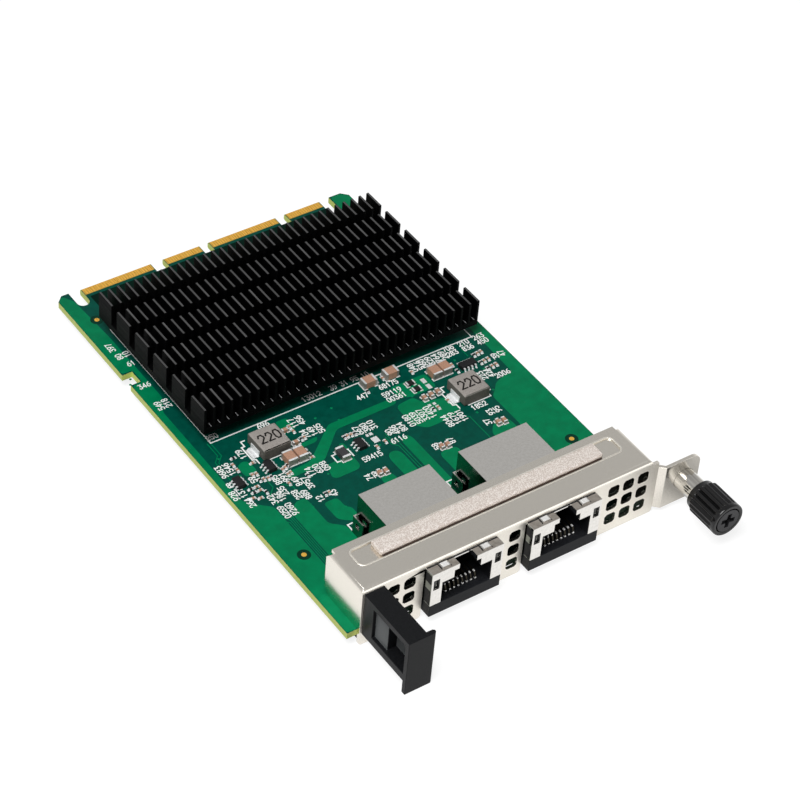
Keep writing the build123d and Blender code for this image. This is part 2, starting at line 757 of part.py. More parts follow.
def end_capped_parts(size, places, name):
    """Chip parts with a metal cap at each end: one node of bodies, one node of caps."""
    length, width, height, cap = size
    with BuildPart() as bodies:
        with BuildSketch(Plane.XY.offset(top_z)):
            for x, distance, turn in places:
                with Locations(Location((*board_point(x, distance), 0), (0, 0, turn))):
                    Rectangle(length - 2 * cap, width)
        extrude(amount=height)
    save(bodies, name)
    with BuildPart() as caps:
        with BuildSketch(Plane.XY.offset(top_z)):
            for x, distance, turn in places:
                with Locations(Location((*board_point(x, distance), 0), (0, 0, turn))):
                    with GridLocations(length - cap, 0, 2, 1):
                        Rectangle(cap, width)
        extrude(amount=height)
    save(caps, name + "_end_caps")


end_capped_parts(large_part, large_places, "large_capacitors")
end_capped_parts(small_part, small_places, "small_capacitors")
end_capped_parts(dark_part, dark_places, "chip_resistors")
end_capped_parts(grey_part, grey_places, "chip_bead")

# Small packaged chips
with BuildPart() as small_chips:
    with BuildSketch(Plane.XY.offset(top_z)):
        for x, distance, turn, length in chip_places:
            with Locations(Location((*board_point(x, distance), 0), (0, 0, turn))):
                Rectangle(length, small_chip_width)
    extrude(amount=small_chip_height)
save(small_chips, "small_chips")
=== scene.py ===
"""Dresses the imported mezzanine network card: finishes, printed board, soft edges, small fasteners and studio.

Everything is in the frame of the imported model: the origin is the middle of the card edge, +Y is the way the card
is pushed in, +X is to the right seen from the faceplate and +Z is the component side. Sizes in the classes are in
millimetres and become metres only when a mesh is made.
"""

import json
import logging
import math
from dataclasses import dataclass
from enum import Enum

import bmesh
import bpy
import numpy as np
from mathutils import Matrix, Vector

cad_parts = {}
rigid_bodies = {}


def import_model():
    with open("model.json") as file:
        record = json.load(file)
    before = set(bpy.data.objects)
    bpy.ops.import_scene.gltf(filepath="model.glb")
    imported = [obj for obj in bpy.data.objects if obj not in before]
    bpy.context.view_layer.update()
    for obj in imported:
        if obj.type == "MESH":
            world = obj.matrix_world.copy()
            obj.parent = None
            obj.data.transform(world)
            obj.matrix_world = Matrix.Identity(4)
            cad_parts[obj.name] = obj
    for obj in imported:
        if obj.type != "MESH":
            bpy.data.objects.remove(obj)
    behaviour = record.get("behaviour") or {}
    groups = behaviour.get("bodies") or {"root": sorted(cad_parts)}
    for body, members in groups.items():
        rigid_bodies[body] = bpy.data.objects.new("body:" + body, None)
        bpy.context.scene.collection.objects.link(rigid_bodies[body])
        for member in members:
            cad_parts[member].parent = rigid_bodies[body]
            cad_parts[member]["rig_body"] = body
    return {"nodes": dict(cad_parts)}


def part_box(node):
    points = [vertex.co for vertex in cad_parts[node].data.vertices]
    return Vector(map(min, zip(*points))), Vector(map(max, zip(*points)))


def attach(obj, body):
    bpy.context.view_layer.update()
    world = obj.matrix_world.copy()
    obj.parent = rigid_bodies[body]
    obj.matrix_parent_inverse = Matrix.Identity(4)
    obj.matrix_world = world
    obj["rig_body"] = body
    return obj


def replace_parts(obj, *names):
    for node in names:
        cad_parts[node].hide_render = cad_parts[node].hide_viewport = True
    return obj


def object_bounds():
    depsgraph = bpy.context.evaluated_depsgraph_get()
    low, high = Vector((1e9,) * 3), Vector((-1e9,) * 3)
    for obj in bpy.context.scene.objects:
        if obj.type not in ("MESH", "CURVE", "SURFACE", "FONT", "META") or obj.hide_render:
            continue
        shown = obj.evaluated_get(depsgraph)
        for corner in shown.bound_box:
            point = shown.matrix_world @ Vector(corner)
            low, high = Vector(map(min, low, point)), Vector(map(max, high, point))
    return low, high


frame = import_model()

LOG = logging.getLogger("network_card")
CAD_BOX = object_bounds()
NODES = frame["nodes"]
MM = 0.001
BOARD_TOP = 0.785
BOARD_UNDER = -0.785
BOARD_LENGTH = 115.0
JACK_X = 12.2
CHOKES = ((-22.9, 51.9), (22.6, 44.6))  # Middles as (x, distance from the board's front edge).
CREASE = math.radians(32)  # Edges sharper than this are rounded, and shaded as edges.
WELD = 0.002 * MM  # Points nearer than this are one.
LEVEL_TURN = math.radians(0.6)  # Faces that turn by less than this are one.
SIDEWAYS = 0.5  # A face whose normal rises by less than this is a side.
SQUARE_ON = 0.9  # A face whose normal has more than this of an axis looks along it.
FILM = 0.02  # Thickness in mm of a layer that is there for its colour.
BUMP_STRENGTH = 0.6

Solid = tuple[np.ndarray, list[list[int]]]
Outline = list[tuple[float, float]]


def linear(colour: str) -> tuple[float, float, float, float]:
    """Turns an sRGB hex value to linear: straight near black, a power of 2.4 above it.

    Args:
        colour: Hex value such as #1a2b3c.

    Returns:
        Red, green, blue and an alpha of one.
    """
    channels = np.array([int(colour[i:i + 2], 16) for i in (1, 3, 5)]) / 255
    curved = ((channels + 0.055) / 1.055) ** 2.4
    return (*np.where(channels <= 0.04045, channels / 12.92, curved).tolist(), 1.0)


def add_node(tree: bpy.types.NodeTree, kind: str, settings: dict, inputs: dict) -> bpy.types.Node:
    """Adds one node with its settings and links.

    Args:
        tree: Node tree to add to.
        kind: Blender's name of the node type.
        settings: Property values of the node.
        inputs: Socket names or numbers with a value, or with the socket to link from.

    Returns:
        The new node.
    """
    node = tree.nodes.new(kind)
    for name, value in settings.items():
        setattr(node, name, value)
    for name, value in inputs.items():
        if isinstance(value, bpy.types.NodeSocket):
            tree.links.new(value, node.inputs[name])
        else:
            node.inputs[name].default_value = value
    return node


class Grain(Enum):
    """How a finish varies over its surface, as the stretch of its noise along X, Y and Z."""

    CLOUDED = (1.0, 1.0, 1.0)
    DRAWN = (1.0, 0.05, 1.0)
    TURNED = (1.0, 12.0, 1.0)
    FLECKED = (1.0, 1.0, 1.001)  # The last digit keeps it apart from CLOUDED.

    def edges(self) -> tuple[float, float]:
        """Returns the noise levels that become zero and one: close together for hard flecks."""
        return (0.47, 0.56) if self is Grain.FLECKED else (0.3, 0.7)


@dataclass(frozen=True)
class Finish:
    """One procedural finish. The grain mixes two colours, swings the roughness and raises the surface.

    Attributes:
        name: The real material and how its surface was made, and any light or shade painted into it.
        colour: Colour of the grain's low places.
        second: Colour of the grain's high places.
        metallic: Share of bare metal, from zero to one.
        roughness: Lowest roughness.
        swing: How much roughness the grain adds.
        grain: Kind of variation.
        size: Size of the grain in millimetres.
        bump: Height of the grain in millimetres.
        ior: Index of refraction.
        specular: Strength of the plain surface shine.
        transmission: Share of light let through.
    """

    name: str
    colour: str
    second: str
    metallic: float
    roughness: float
    swing: float
    grain: Grain
    size: float
    bump: float
    ior: float = 1.5
    specular: float = 0.5
    transmission: float = 0.0

    def pattern(self, tree: bpy.types.NodeTree, place: bpy.types.NodeSocket) -> bpy.types.NodeSocket:
        """Makes the grain: noise, stretched along an axis or hardened into flecks.

        Args:
            tree: Node tree to add to.
            place: Object coordinates.

        Returns:
            Socket of the grain, from zero to one.
        """
        stretched = add_node(tree, "ShaderNodeMapping", {}, {"Vector": place, "Scale": self.grain.value})
        noise = add_node(tree, "ShaderNodeTexNoise", {},
                         {"Vector": stretched.outputs[0], "Scale": 1 / (self.size * MM), "Detail": 3.0})
        low, high = self.grain.edges()
        return add_node(tree, "ShaderNodeMapRange", {},
                        {0: noise.outputs["Fac"], 1: low, 2: high, 3: 0.0, 4: 1.0}).outputs[0]

    def paint(self, tree: bpy.types.NodeTree, grain: bpy.types.NodeSocket) -> bpy.types.NodeSocket:
        """Mixes the two colours by the grain and returns the colour's socket."""
        return add_node(tree, "ShaderNodeMix", {"data_type": "RGBA"},
                        {0: grain, 6: linear(self.colour), 7: linear(self.second)}).outputs[2]

    def material(self) -> bpy.types.Material:
        """Builds the material once and returns it from then on."""
        found = bpy.data.materials.get(self.name)
        if found:
            return found
        material = bpy.data.materials.new(self.name)
        material.use_nodes = True
        tree = material.node_tree
        shader = tree.nodes["Principled BSDF"]
        place = add_node(tree, "ShaderNodeTexCoord", {}, {}).outputs["Object"]
        grain = self.pattern(tree, place)
        rough = add_node(tree, "ShaderNodeMapRange", {},
                         {0: grain, 3: self.roughness, 4: self.roughness + self.swing})
        raised = add_node(tree, "ShaderNodeBump", {},
                          {"Height": grain, "Distance": self.bump * MM, "Strength": BUMP_STRENGTH})
        tree.links.new(self.paint(tree, grain), shader.inputs["Base Color"])
        tree.links.new(rough.outputs[0], shader.inputs["Roughness"])
        tree.links.new(raised.outputs[0], shader.inputs["Normal"])
        shader.inputs["Metallic"].default_value = self.metallic
        shader.inputs["IOR"].default_value = self.ior
        shader.inputs["Specular IOR Level"].default_value = self.specular
        shader.inputs["Transmission Weight"].default_value = self.transmission
        return material


@dataclass(frozen=True)
class LaminateFinish(Finish):
    """Solder mask on the two faces of the board and bare glass laminate on its cut edges, with painted shade on the
    front edge behind the faceplate.

    Attributes:
        edge: Colour of the bare cut edge.
        covered: Colour of the front edge behind the faceplate, painted dark as the shade there.
        front: Y of the front edge in mm.
        half: Half the width of the stretch of painted shade in mm.
        facing: A face whose normal has more than this of Z carries the mask.
    """

    edge: str = "#e8f58c"
    covered: str = "#0c2417"
    front: float = -114.9
    half: float = 35.3
    facing: float = 0.95

    def paint(self, tree: bpy.types.NodeTree, grain: bpy.types.NodeSocket) -> bpy.types.NodeSocket:
        """Shows the laminate where the surface's own normal leaves the vertical and the mask elsewhere, with painted
        shade on the front edge behind the faceplate.
        """
        mask = super().paint(tree, grain)
        coordinates = add_node(tree, "ShaderNodeTexCoord", {}, {}).outputs
        upward = add_node(tree, "ShaderNodeSeparateXYZ", {}, {0: coordinates["Normal"]}).outputs["Z"]
        size = add_node(tree, "ShaderNodeMath", {"operation": "ABSOLUTE"}, {0: upward}).outputs[0]
        flat = add_node(tree, "ShaderNodeMath", {"operation": "GREATER_THAN"}, {0: size, 1: self.facing}).outputs[0]
        # Painted shade: the front edge behind the faceplate takes the dark colour.
        place = add_node(tree, "ShaderNodeSeparateXYZ", {}, {0: coordinates["Object"]}).outputs
        ahead = add_node(tree, "ShaderNodeMath", {"operation": "LESS_THAN"},
                         {0: place["Y"], 1: self.front * MM}).outputs[0]
        beside = add_node(tree, "ShaderNodeMath", {"operation": "ABSOLUTE"}, {0: place["X"]}).outputs[0]
        inside = add_node(tree, "ShaderNodeMath", {"operation": "LESS_THAN"}, {0: beside, 1: self.half * MM}).outputs[0]
        hidden = add_node(tree, "ShaderNodeMath", {"operation": "MULTIPLY"}, {0: ahead, 1: inside}).outputs[0]
        cut = add_node(tree, "ShaderNodeMix", {"data_type": "RGBA"},
                       {0: hidden, 6: linear(self.edge), 7: linear(self.covered)}).outputs[2]
        return add_node(tree, "ShaderNodeMix", {"data_type": "RGBA"}, {0: flat, 6: cut, 7: mask}).outputs[2]


# Glossy green lacquer over bare laminate: dark teal, since there is no copper to throw light back through it.
# Its front edge behind the faceplate carries painted shade.
LAMINATE = LaminateFinish("green solder mask on glass laminate with painted edge shade", "#00463a", "#005143", 0.0, 0.32, 0.12,
                          Grain.CLOUDED, 1.4, 0.004, specular=0.08)
# The same lacquer over copper, which shines through it as a lighter, warmer green.
MASKED_COPPER = Finish("green solder mask over copper", "#00754b", "#008253", 0.0, 0.3, 0.12,
                       Grain.CLOUDED, 2.2, 0.003, specular=0.09)
# A clearing in the copper, drawn on top of it.
MASKED_GAP = Finish("green solder mask in a copper clearing", "#003224", "#003b2a", 0.0, 0.32, 0.12,
                    Grain.CLOUDED, 1.4, 0.002, specular=0.08)
# The same lacquer painted dark as the deep shade under the faceplate and behind the heat sink.
SHADED_MASK = Finish("green solder mask with painted shade", "#001a12", "#002018", 0.0, 0.36, 0.12,
                     Grain.CLOUDED, 1.4, 0.002, specular=0.04)
# Glass laminate with the mask left off: straw yellow, dull.
BARE_LAMINATE = Finish("bare glass laminate", "#c89a3c", "#dbb04e", 0.0, 0.5, 0.2, Grain.CLOUDED, 0.4, 0.004,
                       specular=0.3)
# Printed white epoxy ink: chalky, a little uneven.
WHITE_INK = Finish("screen printed white epoxy ink", "#f8faf6", "#ffffff", 0.0, 0.55, 0.2, Grain.CLOUDED, 0.5, 0.004)
# Dark ink on the moulded chokes. The same black paints the shade in the screws' cross recesses.
DARK_INK_AND_RECESS_SHADE = Finish("pad printed black ink and painted recess shade", "#161413", "#221f1d", 0.0, 0.5, 0.2, Grain.CLOUDED, 0.4, 0.004,
                  specular=0.2)
# Painted shadow along the gasket's lower front edge: dark brown.
GASKET_SHADOW = Finish("painted brown shadow under the gasket", "#33241b", "#453226", 0.0, 0.5, 0.2, Grain.CLOUDED, 0.8, 0.01)
# Hard gold over nickel: deep yellow with fine wear lines along the way of insertion.
GOLD = Finish("hard gold plating", "#f2b140", "#ffca58", 0.5, 0.24, 0.14, Grain.DRAWN, 0.25, 0.002)
# Gold flash on nickel wire, painted dark as the shade deep in the socket.
SHADED_WIRE = Finish("gold flashed nickel wire with painted shade", "#27241c", "#3b362c", 0.8, 0.3, 0.1, Grain.DRAWN, 0.3, 0.002)
# Painted glints: near white marks where nickel bends and spring fingers catch the light.
PAINTED_GLINT = Finish("painted glint on nickel", "#f4f2ee", "#ffffff", 0.4, 0.2, 0.1, Grain.DRAWN, 0.3, 0.001)
# Extruded and sawn aluminium, black anodised: near black, with the oxide's satin sheen along the fins' tops.
ANODISED = Finish("black anodised extruded aluminium", "#020203", "#050506", 0.0, 0.24, 0.12,
                  Grain.DRAWN, 0.5, 0.004, ior=1.7, specular=0.95)
# Painted shade: the fins' sides, ends, roots and edges get the anodising without its shine, so they stay black where
# the tops shine.
SHADED_ANODISED = Finish("black anodised saw cut", "#010101", "#020203", 0.0, 0.5, 0.15, Grain.DRAWN, 0.5, 0.004,
                    specular=0.05)
# Painted glints: thin bright slivers at the front of each gap between the fins.
FIN_GLINT = Finish("painted glint at the front of the fins' gaps", "#b9bbbd", "#d8dadb", 0.4, 0.3, 0.1, Grain.DRAWN, 0.3, 0.002)
# Moulded epoxy of chip packages: matte black-grey.
EPOXY = Finish("moulded black epoxy", "#131315", "#1e1e20", 0.0, 0.5, 0.15, Grain.FLECKED, 0.12, 0.004, specular=0.3)
# Filled silicone sheet: dull grey.
SILICONE = Finish("filled silicone pad", "#787c82", "#8a8e94", 0.0, 0.7, 0.1, Grain.CLOUDED, 0.6, 0.01)
# Cold rolled steel with satin nickel: warm grey, a blurred mirror with a fine even tooth.
PLATED_STEEL = Finish("satin nickel plated rolled steel", "#e3ddd3", "#ebe6dc", 1.0, 0.18, 0.05,
                      Grain.CLOUDED, 0.3, 0.0004)
# The same sheet where it was linished before plating: broader, softer reflections.
SATIN_STEEL = Finish("linished nickel plated rolled steel", "#e6e0d6", "#eeeae0", 1.0, 0.42, 0.06,
                     Grain.CLOUDED, 0.3, 0.0004)
# Painted shade: the same sheet made dark and dull wherever it lies under the cover.
SHADED_INNER_STEEL = Finish("nickel plated sheet with painted shade under the cover", "#3a3935", "#474640", 0.4, 0.5, 0.15,
                     Grain.CLOUDED, 0.5, 0.002, specular=0.2)
# Woven polyester with a metal coat around foam: pinkish beige with light flecks, drawn twice life size.
FABRIC = Finish("metallised woven polyester", "#d6c9bf", "#f4ece5", 0.1, 0.5, 0.2, Grain.FLECKED, 0.26, 0.015)
# Injection moulded nylon: black with a fine spark-eroded texture.
BLACK_NYLON = Finish("moulded black glass filled nylon", "#111214", "#18191b", 0.0, 0.34, 0.14,
                     Grain.FLECKED, 0.16, 0.003, specular=0.12)
# Painted light on the floor of the pull tab's pocket, which faces left: a lighter copy of the same nylon.
LIT_POCKET_NYLON = Finish("glass filled nylon with painted light on the pocket floor", "#5c5f60", "#686b6c", 0.0, 0.3, 0.14,
                      Grain.FLECKED, 0.16, 0.002, specular=0.2)
# Injection moulded acetal of the knob: deep black and glossy.
BLACK_ACETAL = Finish("moulded black acetal", "#060607", "#0c0c0d", 0.0, 0.14, 0.08, Grain.CLOUDED, 0.4, 0.001,
                      specular=0.42)
# Drawn brass tube with bright nickel: light and dark streaks along its length.
BRIGHT_NICKEL = Finish("drawn bright nickel plated brass", "#98948d", "#f8f6f1", 1.0, 0.06, 0.06,
                       Grain.DRAWN, 1.2, 0.001)
# Natural nylon: milky white.
NATURAL_NYLON = Finish("moulded natural nylon", "#dedacc", "#ebe8de", 0.0, 0.4, 0.15, Grain.CLOUDED, 0.8, 0.004)
# Oiled black oxide on steel: dark grey with a soft metal shine.
BLACK_OXIDE = Finish("black oxide steel", "#29292b", "#39393c", 0.35, 0.34, 0.15, Grain.TURNED, 0.6, 0.003)
# Pressed iron powder: dull warm grey with fine pits.
IRON_POWDER = Finish("pressed iron powder", "#96908b", "#aaa49e", 0.0, 0.6, 0.2, Grain.FLECKED, 0.14, 0.01,
                     specular=0.3)
# Painted shade on the pressing's sides: darker and closer than the top.
SHADED_CHOKE_SIDE = Finish("pressed iron powder with painted shade on the sides", "#5a5651", "#6a665f", 0.0, 0.5, 0.2, Grain.FLECKED, 0.14, 0.008,
                      specular=0.3)
# Reflowed tin: soft bright grey, slightly orange-peeled.
TIN = Finish("reflowed tin", "#e6e8e8", "#fbfcfc", 0.3, 0.26, 0.2, Grain.CLOUDED, 0.3, 0.008)
# Painted shade: the same tin made darker on the upright ends of chip parts.
SHADED_TIN = Finish("reflowed tin with painted shade on upright faces", "#8f8b85", "#a9a59f", 0.3, 0.35, 0.2, Grain.CLOUDED, 0.3, 0.008)
# Fired ceramic of chip capacitors: tan, matte.
CERAMIC = Finish("fired tan ceramic", "#ad8168", "#c49b84", 0.0, 0.45, 0.2, Grain.CLOUDED, 0.25, 0.004, specular=0.3)
# Fired ferrite: dark grey.
FERRITE = Finish("fired grey ferrite", "#343436", "#434346", 0.0, 0.5, 0.2, Grain.FLECKED, 0.15, 0.004, specular=0.3)
# Thermoplastic of the jacks: black, satin. The same black paints the shade in the shields' top slits and a shadow line
# across their tops.
JACK_PLASTIC_AND_PAINTED_SHADE = Finish("moulded black polyester and painted shade", "#1a1b1e", "#232427", 0.0, 0.34, 0.14, Grain.FLECKED, 0.18, 0.002,
                      specular=0.1)
# Thin stamped sheet with bright nickel: pale warm grey, nearly mirror flat.
JACK_STEEL = Finish("stamped nickel plated sheet", "#dddad5", "#e7e4df", 1.0, 0.1, 0.05, Grain.CLOUDED, 0.5, 0.0004)
# Painted reflection: a darker copy of the same sheet laid on the front of the shield's top, where it mirrors the dark
# in front.
SHADED_JACK_TOP = Finish("nickel plated sheet with painted dark reflection", "#857e76", "#9b958d", 0.3, 0.35, 0.1, Grain.CLOUDED, 0.8, 0.002)
# Painted shade on its side walls behind the faceplate: a darker copy of the sheet, so they mirror the green board
# darkly.
SHADED_JACK_WALL = Finish("flux dulled nickel plated sheet", "#787d78", "#8a8f89", 1.0, 0.12, 0.06, Grain.CLOUDED, 0.8, 0.001)
# Clear polycarbonate of the light pipes: smoky where it looks into the dark housing.
CLEAR_PLASTIC = Finish("moulded clear polycarbonate", "#3d403c", "#5b5e59", 0.0, 0.18, 0.1,
                       Grain.CLOUDED, 0.8, 0.003, ior=1.585, transmission=0.2)


def boxes(centres: np.ndarray, sizes: np.ndarray, turns: np.ndarray | float = 0.0) -> Solid:
    """Makes many boxes at once: corner = centre + half size times a sign, turned about Z.

    Args:
        centres: Middle points, one row each, in mm.
        sizes: Full lengths along X, Y and Z before the turn, in mm.
        turns: Turn about Z in degrees, one for all or one each.

    Returns:
        Points and faces of all the boxes.
    """
    centres = np.atleast_2d(np.asarray(centres, float))
    count = len(centres)
    sizes = np.broadcast_to(np.asarray(sizes, float), (count, 3))
    angle = np.radians(np.broadcast_to(np.asarray(turns, float), (count,)))[:, None]
    signs = np.array([(-1, -1, -1), (1, -1, -1), (1, 1, -1), (-1, 1, -1),
                      (-1, -1, 1), (1, -1, 1), (1, 1, 1), (-1, 1, 1)]) / 2
    local = sizes[:, None, :] * signs
    x = local[..., 0] * np.cos(angle) - local[..., 1] * np.sin(angle)
    y = local[..., 0] * np.sin(angle) + local[..., 1] * np.cos(angle)
    points = np.stack((x, y, local[..., 2]), axis=-1) + centres[:, None, :]
    sides = np.array([(0, 3, 2, 1), (4, 5, 6, 7), (0, 1, 5, 4), (1, 2, 6, 5), (2, 3, 7, 6), (3, 0, 4, 7)])
    faces = sides[None] + 8 * np.arange(count)[:, None, None]
    return points.reshape(-1, 3), faces.reshape(-1, 4).tolist()


def prism(outline: np.ndarray | Outline, low: float, high: float) -> Solid:
    """Carries a flat outline from one height to another: two copies of the loop, walls and two end faces.

    Args:
        outline: Corners in order, seen from above against the clock, in mm.
        low: Lower height in mm.
        high: Upper height in mm.

    Returns:
        Points and faces of the prism.
    """
    loop = np.asarray(outline, float)
    area = np.sum(loop[:, 0] * np.roll(loop[:, 1], -1) - np.roll(loop[:, 0], -1) * loop[:, 1])
    loop = loop if area > 0 else loop[::-1]
    count = len(loop)
    points = np.vstack([np.column_stack((loop, np.full(count, level))) for level in (low, high)])
    here = np.arange(count)
    after = np.roll(here, -1)
    walls = np.column_stack((here, after, after + count, here + count)).tolist()
    return points, walls + [here[::-1].tolist(), (here + count).tolist()]


def grid(points: np.ndarray, ring: bool) -> Solid:
    """Joins rows of points to quads. Every row closes on itself, and the rows form a ring or end in flat faces.

    Args:
        points: Rows by columns by three, in mm.
        ring: Whether the last row joins the first.

    Returns:
        Points and faces of the surface.
    """
    rows, columns = points.shape[:2]
    here = np.arange(columns)
    after = np.roll(here, -1)
    steps = columns * np.arange(rows if ring else rows - 1)[:, None]
    beyond = (steps + columns) % (rows * columns)
    quads = np.stack((here + steps, after + steps, after + beyond, here + beyond), axis=-1)
    ends = [] if ring else [here[::-1].tolist(), (here + columns * (rows - 1)).tolist()]
    return points.reshape(-1, 3), quads.reshape(-1, 4).tolist() + ends


def lathe(profile: Outline, segments: int = 24) -> Solid:
    """Turns a profile of (radius, height) points about Z: x = r cos a, y = r sin a, with flat ends.

    Args:
        profile: Points from the lower end to the upper end, in mm.
        segments: Steps round the axis.

    Returns:
        Points and faces of the turned shape.
    """
    radius, height = np.asarray(profile, float).T
    angle = np.linspace(0, 2 * np.pi, segments, endpoint=False)
    return grid(np.stack((np.outer(radius, np.cos(angle)), np.outer(radius, np.sin(angle)),
                          np.repeat(height[:, None], segments, axis=1)), axis=-1), False)


def hoop(path: np.ndarray, section: Outline, level: float) -> Solid:
    """Carries a closed section round a closed flat path: point = path + u times the outward normal, height = v.

    Args:
        path: Points of the path against the clock, in mm.
        section: Points (u, v) of the section, in mm.
        level: Height that v counts from, in mm.

    Returns:
        Points and faces of the hoop.
    """
    ahead = np.roll(path, -1, axis=0) - np.roll(path, 1, axis=0)
    outward = np.column_stack((ahead[:, 1], -ahead[:, 0])) / np.linalg.norm(ahead, axis=1)[:, None]
    u, v = np.asarray(section, float).T
    flat = path[:, None, :] + outward[:, None, :] * u[None, :, None]
    height = np.broadcast_to(level + v[None, :, None], (*flat.shape[:2], 1))
    return grid(np.concatenate((flat, height), axis=-1), True)


def round_corners(length: float, width: float, radius: float) -> np.ndarray:
    """Returns a rectangle with round corners about the origin, against the clock: four quarter circles in turn."""
    angle = np.linspace(0, np.pi / 2, 9)
    corners = [(length / 2 - radius, width / 2 - radius), (radius - length / 2, width / 2 - radius),
               (radius - length / 2, radius - width / 2), (length / 2 - radius, radius - width / 2)]
    return np.vstack([np.column_stack((np.cos(angle + k * np.pi / 2), np.sin(angle + k * np.pi / 2))) * radius + corner
                      for k, corner in enumerate(corners)])


def sweep(profile: Outline, low: float, high: float) -> Solid:
    """Carries a closed (y, z) profile along X from one end to the other."""
    points, faces = prism(profile, low, high)
    return points[:, [2, 0, 1]], faces


def repeat(solid: Solid, places: np.ndarray) -> Solid:
    """Copies a solid to each of several places, all in one array."""
    points, faces = solid
    places = np.atleast_2d(np.asarray(places, float))
    shifts = len(points) * np.arange(len(places))
    copies = [[int(corner + shift) for corner in face] for shift in shifts for face in faces]
    return (places[:, None, :] + points[None]).reshape(-1, 3), copies


def turned(solid: Solid, matrix: Matrix) -> Solid:
    """Turns and moves a solid by a matrix whose shift is in mm."""
    table = np.array(matrix)
    return solid[0] @ table[:3, :3].T + table[:3, 3], solid[1]


def rounded(outline: np.ndarray | Outline, radius: float = 0.9) -> np.ndarray:
    """Rounds an outline's corners: from a cut on each side of a corner B runs (1-t)^2 A + 2 t (1-t) B + t^2 C.

    Args:
        outline: Corners in order, in mm.
        radius: How far from the corner the curve starts, at most 0.45 of the run, in mm.

    Returns:
        The softened outline.
    """
    loop = np.asarray(outline, float)
    before = np.roll(loop, 1, axis=0) - loop
    after = np.roll(loop, -1, axis=0) - loop
    first, last = (loop + run * np.minimum(radius / np.linalg.norm(run, axis=1), 0.45)[:, None]
                   for run in (before, after))
    t = np.linspace(0, 1, 5)[None, :, None]
    curve = (1 - t) ** 2 * first[:, None] + 2 * t * (1 - t) * loop[:, None] + t ** 2 * last[:, None]
    return curve.reshape(-1, 2)


def circle(steps: int) -> np.ndarray:
    """Returns a circle of radius one as points against the clock."""
    angle = np.linspace(0, 2 * np.pi, steps, endpoint=False)
    return np.column_stack((np.cos(angle), np.sin(angle)))


def on_board(path: np.ndarray | Outline) -> np.ndarray:
    """Turns (x, distance from the front edge of the board) into X and Y of the frame."""
    return np.asarray(path, float) - (0.0, BOARD_LENGTH)


def standing(places: np.ndarray | Outline, level: float) -> np.ndarray:
    """Turns (x, distance from the front edge of the board) into X and Y of the frame, with one height for all."""
    flat = on_board(places)
    return np.column_stack((flat, np.full(len(flat), level)))


# Bars that meet, and strokes that cross, lie at levels of their own, because faces that share a level shade each other.
BAR_STEP, BAR_LEVELS = 0.09, 3  # Share of a bar's height, and how many levels there are.
INK, INK_STEP, INK_LEVELS = 0.034, 0.004, 9  # Thinnest stroke and step in mm, and how many levels there are.
DIGIT_WIDTH, DIGIT_PITCH = 0.5, 0.75  # Shares of a digit's height.


def lines(path: Outline, width: float, height: float) -> Solid:
    """Draws a path of straight runs as thin bars lying on the board, each a bar's width longer than its run.

    Args:
        path: Corners as (x, distance from the front edge), in mm.
        width: Width of the line in mm.
        height: Height above the board in mm.

    Returns:
        Points and faces of the bars.
    """
    points = on_board(path)
    run = np.diff(points, axis=0)
    middle = (points[:-1] + points[1:]) / 2
    length = np.hypot(run[:, 0], run[:, 1]) + width
    count = len(run)
    thick = height * (1 - BAR_STEP * (np.arange(count) % BAR_LEVELS))
    centres = np.column_stack((middle, BOARD_TOP + thick / 2))
    sizes = np.column_stack((length, np.full(count, width), thick))
    return boxes(centres, sizes, np.degrees(np.arctan2(run[:, 1], run[:, 0])))


DIGIT_PATHS = (
    ((0.25, 0), (0, 0.25), (0, 0.75), (0.25, 1), (0.75, 1), (1, 0.75), (1, 0.25), (0.75, 0), (0.25, 0)),
    ((0.15, 0.75), (0.5, 1), (0.5, 0)),
    ((0, 0.75), (0.25, 1), (0.75, 1), (1, 0.75), (1, 0.58), (0, 0), (1, 0)),
    ((0, 1), (1, 1), (0.45, 0.58), (0.75, 0.55), (1, 0.35), (1, 0.2), (0.75, 0), (0.25, 0), (0, 0.15)),
    ((0.8, 0), (0.8, 1), (0, 0.3), (1, 0.3)),
    ((1, 1), (0.05, 1), (0, 0.55), (0.7, 0.6), (1, 0.4), (1, 0.2), (0.75, 0), (0.2, 0), (0, 0.12)),
    ((0.9, 1), (0.4, 0.85), (0, 0.4), (0, 0.2), (0.25, 0), (0.75, 0), (1, 0.2), (1, 0.4), (0.75, 0.55),
     (0.25, 0.55), (0, 0.35)),
    ((0, 1), (1, 1), (0.35, 0)),
    ((0.25, 0.53), (0, 0.75), (0.25, 1), (0.75, 1), (1, 0.75), (0.75, 0.53), (0.25, 0.53), (0, 0.28), (0.25, 0),
     (0.75, 0), (1, 0.28), (0.75, 0.53)),
    ((0.1, 0), (0.6, 0.15), (1, 0.6), (1, 0.8), (0.75, 1), (0.25, 1), (0, 0.8), (0, 0.6), (0.25, 0.45),
     (0.75, 0.45), (1, 0.65)),
)
DIGIT_RUNS = [np.stack((np.array(path[:-1]), np.array(path[1:])), axis=1) for path in DIGIT_PATHS]


